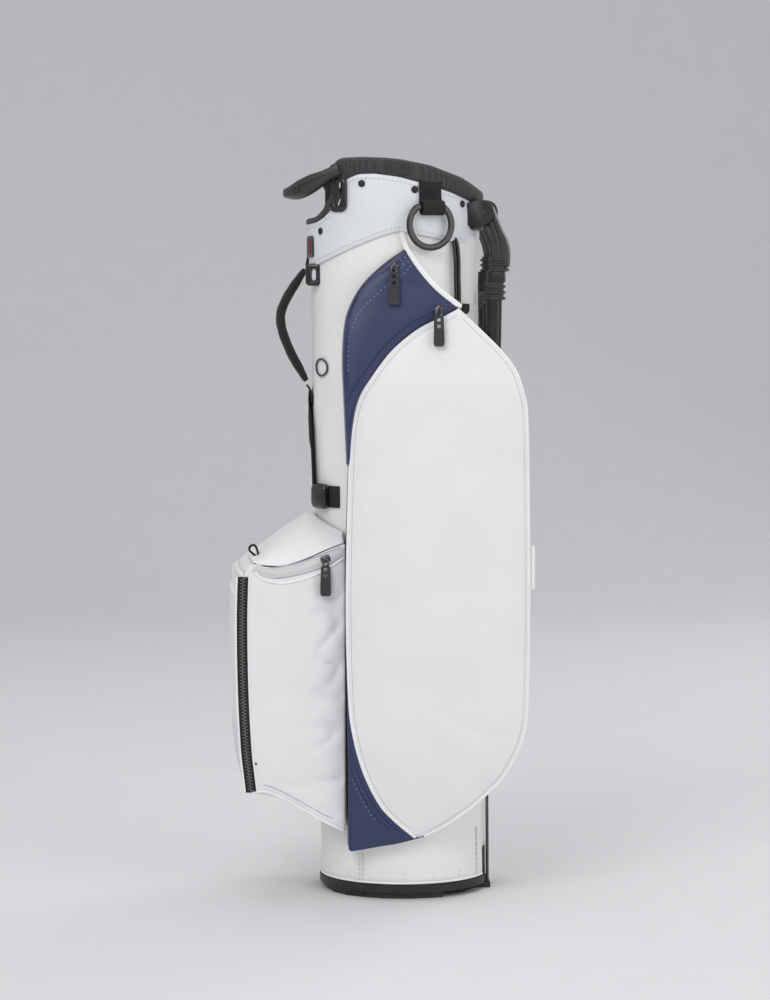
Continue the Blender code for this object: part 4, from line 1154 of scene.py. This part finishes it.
def build_ring():
    ring_z = 812
    foot, along, out = trunk_frame(291.0, ring_z)
    hinge = foot + out * 11.5 + UP * 11
    middle = hinge - UP * 20.2
    slip = 2.5 if along.x > 0 else -2.5
    loop = [middle + along * (a - slip) + UP * min(b, 20.2) for a, b in oval(53.6, 53.6, 64)]
    ring = sweep("towel_ring_loop", loop, slab(4.6, 7.8, 2.1, 4), GLOSS, side=out, body="ring", closed=True,
                 sharp=50)
    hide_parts("towel_ring")

    strap = [(4.2, 853), (4.6, 846), (5.4, 835), (8.5, 830.4), (14.5, 829.8), (17.3, 823), (15.2, 815.9),
             (10.2, 814.6), (6.4, 818.5), (5.0, 826), (4.9, 834)]
    path = spline([foot + out * o + UP * (z - ring_z) for o, z in strap], 4)
    tab = sweep("ring_webbing", path, slab(28.5, 1.5, 0.6, 2), WEBBING, side=along)
    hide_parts("ring_tab")
    for index, z in enumerate((838.5, 843)):
        line = [foot + along * a + out * 6.0 + UP * (z - ring_z) for a in range(-12, 13, 2)]
        stitches(f"ring_webbing_stitch_{index}", line, THREAD_DARK, dash=2.2, gap=1.2, radius=0.4,
                 side=(0, 0, 1))

    band = [trunk_point(-49, z, offset) for z, offset in ((787, 1.0), (780, 4.6), (762, 6.6), (742, 6.4),
                                                          (724, 6.8), (709, 6.4))]
    for index, shift in enumerate((-2.1, 2.1)):
        path = [p + Vector((shift, 0, 0)) for p in spline(band, 6)]
        cord = tube(f"elastic_loop_{index}", path, 2.1, GLOSS, side=(1, 0, 0), sides=12)
    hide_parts("elastic_band")
    foot, across, out = trunk_frame(-40, 704, 0.8)
    flat = [(-6.5, 6), (6.5, 6), (6.5, -2), (4, -5.4), (0, -6.4), (-4, -5.4), (-6.5, -2)]
    plate("elastic_tab", flat[::-1], foot + out * 3, across, UP, 2.8, WEBBING, bevel=0.7)


# ---------------------------------------------------------------- stand
def leg_frame(side):
    splay = math.radians(20)
    pivot = Vector((PIVOT_X, side * PIVOT_Y, PIVOT_Z))
    outward = Vector((math.cos(splay), side * math.sin(splay), 0))
    across = Vector((math.sin(splay), -side * math.cos(splay), 0))
    return pivot, outward, across


def build_stand():
    paint(METAL, "leg_pin_near", "leg_pin_far", "actuator_rod_near", "actuator_rod_far", "flap_hinge_pin")
    paint(PLASTIC, "base_cup", "cuff_frame", "divider_frame")
    build_bracket()
    paint(FLAP, "base_flap")
    paint(FIBRE, "stay_rod_1", "stay_rod_2", "stay_rod_3")
    paint(LINING, "full_length_dividers")
    for name, side in (("near", -1), ("far", 1)):
        pivot, outward, across = leg_frame(side)

        def place(u, a, z, pivot=pivot, outward=outward, across=across):
            return pivot + outward * u + across * a + UP * z

        def ring(u, z, section, size=1.0, outward=outward, across=across):
            return ring_at(place(u, 0, z), outward, across, section, size)

        body = "leg_" + name
        arm = [(-7.5, 6.5), (-6, 8.2), (-3, 10.5), (2, 10.6), (5, 9.5), (9, 6), (11, 2), (14, -7), (17, -14),
               (21, -23), (26, -32), (28.3, -40), (29, -48), (28.8, -58), (28, -66), (11, -66), (11.4, -58),
               (11.2, -50), (10, -44), (7.5, -36), (3, -26), (-2.5, -17), (-5.5, -10), (-7.8, -4)]
        flat = [loft_parts([[place(u, a, z) for u, z in arm] for a in (-7, 7)])]
        shape = joined("knuckle_" + name, flat, CHARCOAL, body)
        round_edges(shape, 2.2, 4, 40)
        bore = make("cutter", *sweep_parts([place(0, -20, 0), place(0, 20, 0)], oval(8, 8, 16),
                                           outward), plain, None)
        carve(shape, [bore])
        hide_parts("leg_knuckle_" + name)
        for tag, a in (("outer", -1), ("inner", 1)):
            path = spline([place(u, a * 7.3, z) for u, z in ((3, 2), (7, -10), (12, -22), (16.5, -34),
                                                             (17.5, -46), (17.5, -60))], 4)
            sweep(f"knuckle_ridge_{name}_{tag}", path, slab(4.6, 1.6, 0.7, 2), CHARCOAL,
                  side=outward, body=body)

        ribs = []
        for z0, z1, count in ((-71, -52, 3), (-105, -84, 3)):
            pitch = (z1 - z0) / count
            shift = 17 if z1 > -60 else 12.6
            for k in range(count):
                low = z0 + pitch * k
                steps = ((0.4, 0.84), (1.2, 1.0), (pitch * 0.5, 1.0), (pitch * 0.62, 0.84))
                ribs.append(loft_parts([ring(shift, low + z, slab(22, 18, 5.5, 4), size)
                                        for z, size in steps]))
            ribs.append(loft_parts([ring(shift, z, slab(17.5, 14.5, 4.5, 4)) for z in (z0, z1)]))
        lug = [(-10, -108.6), (4, -104.9), (4, -94), (-5, -96), (-10, -100)]
        ribs.append(loft_parts([[place(u, a, z) for u, z in lug] for a in (6, 10.6)]))
        collar = joined("leg_ribs_" + name, ribs, CHARCOAL, body, sharp=35)
        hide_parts("leg_collar_" + name)
        sleeve = [ring(14.6, z, slab(18, 15, 4.5, 3), size)
                  for z, size in ((-84, 0.95), (-82, 1), (-73, 1), (-71, 0.95))]
        loft("leg_sleeve_" + name, sleeve, PLASTIC, body, sharp=35)

        rings = [ring(11 - 10 * i / 24, -70.4 - 601.6 * i / 24, facets(19, 15)) for i in range(25)]
        leg = loft("leg_" + name + "_tube", rings, TUBE, body, sharp=25)
        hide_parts("leg_tube_" + name)

        rings = []
        for z, grow in ((-636, 0.80), (-637.5, 0.86), (-652, 0.97), (-655, 1.0), (-661, 1.0), (-662, 0.96),
                        (-664, 0.96), (-665, 1.0), (-671, 1.0), (-672, 0.96), (-674, 0.96), (-675, 1.0),
                        (-680, 1.0), (-685, 0.93), (-688, 0.78)):
            rings.append(ring(1.3, z, oval(25, 19.6, 28), grow))
        foot = loft("leg_shoe_" + name, rings, RUBBER, body, sharp=30)
        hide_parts("leg_foot_" + name)
        bent = [place(3, -10.5, -107), place(-3, -11.5, -112), place(-5.5, -11.5, -122),
                place(-4, -10.5, -136),
                place(2, -8.5, -150), place(6.5, -7.6, -158)]
        tube("leg_wire_" + name, spline(bent, 6), 0.9, METAL, body, side=across)

        cover = [(-17, 10.5), (-14, 14), (-8, 16), (2, 15), (7, 11), (8, 3), (7, -8), (3, -15), (-5, -18.5),
                 (-12, -19), (-16, -17), (-18, -10)]
        foot, along, out = trunk_frame(turn_of_x(86, side), PIVOT_Z, 8.9)
        direction = along if along.x > 0 else -along
        outline = [(a + 8.5, b) for a, b in cover]
        wall_plate("bracket_cover_" + name, outline, foot - out * 0.4, direction, out, 1.6, CHARCOAL)
        stack("bracket_screw_" + name, foot + out * 1.2, direction, UP, out, oval(7.5, 7.5, 20),
              ((0, 1), (1.0, 1), (1.6, 0.85), (1.8, 0.55), (1.2, 0.45)), STEEL, sharp=35)


def build_bracket():
    """The band on the cuff's back and the two pairs of ears that hold the knuckles."""
    parts = []
    for z, half, offset, section, ends in ((811, 32, 6.2, slab(4.8, 27, 2.0, 3), 0.9),
                                           (803, 14, 8.6, slab(2.6, 4.0, 1.0, 2), 1.0),
                                           (819, 14, 8.6, slab(2.6, 4.0, 1.0, 2), 1.0)):
        parts.append(loft_parts([[trunk_point(half * (i / 15 - 1), z + b * (ends if i in (0, 30) else 1.0),
                                              offset + a) for a, b in section] for i in range(31)]))
    for side in (-1, 1):
        pivot, outward, across = leg_frame(side)
        outline = [(-23, 9), (-14, 12.5), (-8, 14), (-1, 14.2), (4, 13), (8.5, 10), (11, 6), (12.4, 1),
                   (12, -4), (10.2, -9), (7, -13), (1, -16.2), (-6, -17), (-23, -17)]
        for low, high in ((-11.5, -7.6), (7.6, 11.5)):
            steps = ((low, 0.94), (low + 0.7, 1), (high - 0.7, 1), (high, 0.94))
            parts.append(loft_parts([ring_at(pivot + across * a, outward, UP, outline, size)
                                     for a, size in steps]))
    bracket = joined("bracket_body", parts, PLASTIC, sharp=35)
    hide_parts("leg_bracket")


def facets(width, height):
    """A tube's section with soft flutes down its faces."""
    made = []
    for a, b in oval(width, height, 32):
        turn = math.atan2(b / height, a / width)
        dip = 1 - 0.035 * (1 + math.cos(8 * turn)) / 2
        made.append((a * dip, b * dip))
    return made


# ---------------------------------------------------------------- straps, trunk handle, hip pad
def build_straps():
    for name, turn, foot_turn, strap_width in (("front", 136, 204, 26), ("far", 96, 76, 24)):
        hinge, along, out = trunk_frame(turn, STRAP_TOP + 8, STRAP_OUT)

        def bend(z, turn=turn):
            return turn if turn < 100 else turn - 9 * fade(742 - z, 0, 60) + 12 * fade(650 - z, 0, 80)

        def along_pad(t):
            """The pad's middle, its two directions, and how full it is at a share of its length."""
            z = STRAP_TOP - STRAP_LENGTH * t
            full = math.sin(math.pi / 2 * min(1.0, t / 0.16, (1 - t) / 0.2))
            return *trunk_frame(bend(z), z, STRAP_OUT), full

        rings = []
        for i in range(35):
            middle, side_dir, out_dir, full = along_pad(i / 34)
            thick = 6 + 8 * full
            puff = 1 - 0.10 * abs(math.cos(math.pi * 5 * i / 34)) ** 8
            section = slab(28 + 26 * full ** 0.8, thick, thick * 0.48, 4)
            rings.append(ring_at(middle, side_dir, out_dir * puff, section))
        pad = loft("shoulder_pad_" + name, rings, PAD, "strap_" + name, sharp=60)
        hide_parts("strap_pad_" + name)
        for tag, sign in (("left", -1), ("right", 1)):
            path = []
            for i in range(2, 33):
                middle, side_dir, _, full = along_pad(i / 34)
                path.append(middle + side_dir * sign * (13.7 + 13 * full ** 0.8))
            tube(f"shoulder_pad_edge_{name}_{tag}", path, 1.1, WEBBING, "strap_" + name, side=out)
        top, side_dir, out_dir = trunk_frame(turn, STRAP_TOP, STRAP_OUT)
        webbing = [top + out_dir * 4.2 - UP * 26, top + out_dir * 4.0, top + out_dir * 2.6 + UP * 5,
                   hinge + UP * 3.4,
                   top - out_dir * 2.6 + UP * 5, top - out_dir * 4.0, top - out_dir * 4.0 - UP * 8]
        sweep("shoulder_webbing_" + name, spline(webbing, 5), slab(20, 1.5, 0.6, 2), WEBBING, side=side_dir,
              body="strap_" + name)
        foot, low_side, low_out = trunk_frame(bend(508), STRAP_TOP - STRAP_LENGTH, STRAP_OUT)
        tongue = [foot + low_out * 2 + UP * 30, foot + low_out * 2.2, foot + low_out * 0.4 - UP * 7,
                  foot - low_out * 0.6 - UP * 14]
        sweep("shoulder_tongue_" + name, spline(tongue, 5), slab(22, 1.8, 0.7, 2), WEBBING, side=low_side,
              body="strap_" + name)

        ring = ring_at(hinge + UP * 6, along, UP, oval(28, 12, 40))
        loop = sweep("strap_ring_" + name, ring, oval(3.2, 3.2, 10), GLOSS, side=out, closed=True)
        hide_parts("strap_anchor_" + name)
        patch, patch_side, patch_out = trunk_frame(turn, 766, 1.0)
        keeper = [patch + patch_out * 0.6 + UP * 14, patch + patch_out * 2.4 + UP * 2, hinge + UP * 14.6,
                  hinge + out * 2.6 + UP * 12, hinge + out * 0.2 + UP * 9.4, patch + patch_out * 2.6 - UP * 8,
                  patch + patch_out * 0.9 - UP * 16]
        sweep("strap_keeper_" + name, spline(keeper, 5), slab(22, 1.5, 0.6, 2), WEBBING, side=patch_side)

        foot, along, out = trunk_frame(foot_turn, BUCKLE_Z, 0.6)
        rings = []
        for lift, size in ((0, 0.96), (1.2, 1), (5.2, 1), (7.6, 0.93), (8.6, 0.8)):
            rings.append([foot + along * a * size + out * (lift + a * a / 330) + UP * b * size
                          for a, b in slab(32, 30, 7, 4)])
        buckle = loft("strap_clip_" + name, rings, GLOSS, sharp=45)
        carve(buckle, [slot_cutter(foot + along * a, along, UP, out, 2.6, 19, 4.6) for a in (-8.5, 0.5, 8)])
        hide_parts("strap_buckle_" + name)
        strap = [trunk_frame(foot_turn + d, BUCKLE_Z, o)[0]
                 for d, o in ((-22, 1.0), (-15, 1.5), (-8, 1.4), (0, 1.4), (8, 1.6), (14, 1.2), (19, 1.0))]
        sweep("strap_webbing_" + name, spline(strap, 4), slab(strap_width, 1.5, 0.6, 2), WEBBING,
              side=(0, 0, 1))
    lower = [trunk_frame(t, z, o)[0] for t, z, o in ((190, 470, 2.6), (189, 498, 2.2), (187, 530, 2.2),
                                                     (184, 562, 2.2), (177, 586, 2.6), (168, 598, 3.0))]
    sweep("lower_webbing", spline(lower, 5), slab(24, 1.6, 0.6, 2), WEBBING, side=(0.25, 1, 0))

    grip = spline([(-119.5, 0, 751), (-129, 0, 737), (-142, 0, 716), (-149, 0, 697), (-147, 0, 677),
                   (-137, 0, 651), (-126, 0, 631), (-118.5, 0, 617)], 7)

    def fat(t):
        size = 0.5 + 0.5 * min(1.0, 5 * t, 5 * (1 - t)) ** 0.7
        return size, size * (1 - 0.05 * abs(math.cos(math.pi * 9 * t)) ** 6)

    handle = sweep("trunk_handle_grip", grip, slab(24, 11, 5.2, 4), PAD, body="handle_loop", size=fat)
    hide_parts("trunk_handle")
    for tag, y in (("near", -1), ("far", 1)):
        path = [p + Vector((0, y * (12 * fat(i / (len(grip) - 1))[0] - 0.4), 0))
                for i, p in enumerate(grip)][4:-4]
        tube("trunk_handle_piping_" + tag, path, 1.2, WEBBING, "handle_loop", side=(1, 0, 0))
    for tag, ends in (("top", ((-118, 755), (-116.4, 763), (-114.4, 776))),
                      ("low", ((-117.5, 612), (-113, 604), (-111.4, 590)))):
        path = spline([Vector((x, 0, z)) for x, z in ends], 6)
        sweep("trunk_handle_tail_" + tag, path, slab(22, 2.2, 0.9, 2), WEBBING)

    rows = []
    for i in range(49):
        z = 186 + 248 * i / 48
        row = []
        for j in range(33):
            t = j / 32
            turn = 60 + 60 * t
            edge = min(1.0, min(t, 1 - t) / 0.14, min(i, 48 - i) / 7)
            lift = 15 * math.sqrt(max(0.0, edge * (2 - edge))) - 1.6 * math.exp(-((z - 310) / 4) ** 2) * edge
            lift -= 1.2 * math.exp(-((turn - 90) / 1.6) ** 2) * edge
            row.append(trunk_point(turn, z, 2.2 + max(lift, 0.4)))
        rows.append(row)
    pad = sheet_of("hip_cushion", rows, MESH, 1.5)
    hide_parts("hip_pad")
    edge = rows[0] + [r[-1] for r in rows[1:-1]] + rows[-1][::-1] + [r[0] for r in rows[-2:0:-1]]
    tube("hip_cushion_piping", edge, 1.6, PIPING, closed=True)


# ---------------------------------------------------------------- base
def build_base():
    for index, x in enumerate((-82, -22, 42)):
        for name, side in (("near", -1), ("far", 1)):
            turn = side * math.degrees(math.acos(x / TRUNK_RX))
            stud(f"base_stud_{name}_{index + 1}", turn, (BAND_LOW + BAND_TOP) / 2, 1.2, 3.75, FLAP)
    path = [cloth_point(22.5 + 2.5 * k, BAND_TOP + 2.2, 0.4) for k in range(127)]
    tube("base_piping", path, 1.5, PIPING, side=(0, 0, 1))
    for index, x in enumerate((-70, -45, -5, 30, 62)):
        turn = -math.degrees(math.acos(x / TRUNK_RX))
        stitches(f"base_mark_{index}", [cloth_point(turn, 24 + 1.2 * k, 0.3) for k in range(9)], THREAD,
                 dash=3, gap=1.5, radius=0.35, side=(1, 0, 0))


# ---------------------------------------------------------------- light, floor and camera
def area_light(name, place, target, size, power):
    data = bpy.data.lights.new(name, "AREA")
    data.shape = "RECTANGLE"
    data.size, data.size_y = size
    data.energy = power
    lamp = bpy.data.objects.new(name, data)
    lamp.location = place
    lamp.rotation_euler = (Vector(target) - Vector(place)).to_track_quat("-Z", "Y").to_euler()
    bpy.context.scene.collection.objects.link(lamp)


def build_stage():
    rows = []
    for i in range(25):
        turn = math.pi / 2 * max(0, i - 8) / 10
        if i <= 8:
            y, z = -9.0 + 12.0 * i / 8, 0.0
        elif i <= 18:
            y, z = 3.0 + 2.0 * math.sin(turn), 2.0 - 2.0 * math.cos(turn)
        else:
            y, z = 5.0, 2.0 + (i - 18) * 0.8
        rows.append([Vector((x, y, z)) / MM for x in (-9, -3, 3, 9)])
    points = [p for row in rows for p in row]
    floor = make("floor", points, grid_faces(25, 4), FLOOR, None, sharp=0, flip=False)

    bpy.context.scene.view_settings.view_transform = "Standard"
    world = bpy.data.worlds.new("studio")
    bpy.context.scene.world = world
    world.use_nodes = True
    back = world.node_tree.nodes["Background"]
    back.inputs["Color"].default_value = (0.96, 0.97, 1.0, 1)
    back.inputs["Strength"].default_value = 0.5
    area_light("key", (-1.6, -3.0, 3.0), (0, 0, 0.45), (2.2, 2.2), 64)
    area_light("fill", (2.6, -2.6, 1.6), (0, 0, 0.45), (2.0, 2.4), 28)
    area_light("top", (0, 0.4, 3.4), (0, 0, 0.5), (2.4, 2.4), 28)
    area_light("rim_light", (2.2, 2.4, 2.0), (0, 0, 0.5), (1.2, 2.0), 22)

    data = bpy.data.cameras.new("camera")
    camera = bpy.data.objects.new("camera", data)
    bpy.context.scene.collection.objects.link(camera)
    data.lens = 107.1
    data.sensor_width = 36.0
    data.sensor_fit = "AUTO"
    data.dof.use_dof = False
    azimuth, elevation, distance = math.radians(-4.0), math.radians(4.08), 3.61
    aim = Vector((-0.023, 0, 0.472))
    level = Vector((math.sin(azimuth), -math.cos(azimuth), 0))
    camera.location = aim + (level * math.cos(elevation) + UP * math.sin(elevation)) * distance
    camera.rotation_euler = (aim - camera.location).to_track_quat("-Z", "Y").to_euler()
    bpy.context.scene.camera = camera


build_stage()
build_base()
build_trunk()
build_cuff()
build_side_pockets()
build_ball_pocket()
build_zips()
build_handles()
build_ring()
build_stand()
build_straps()
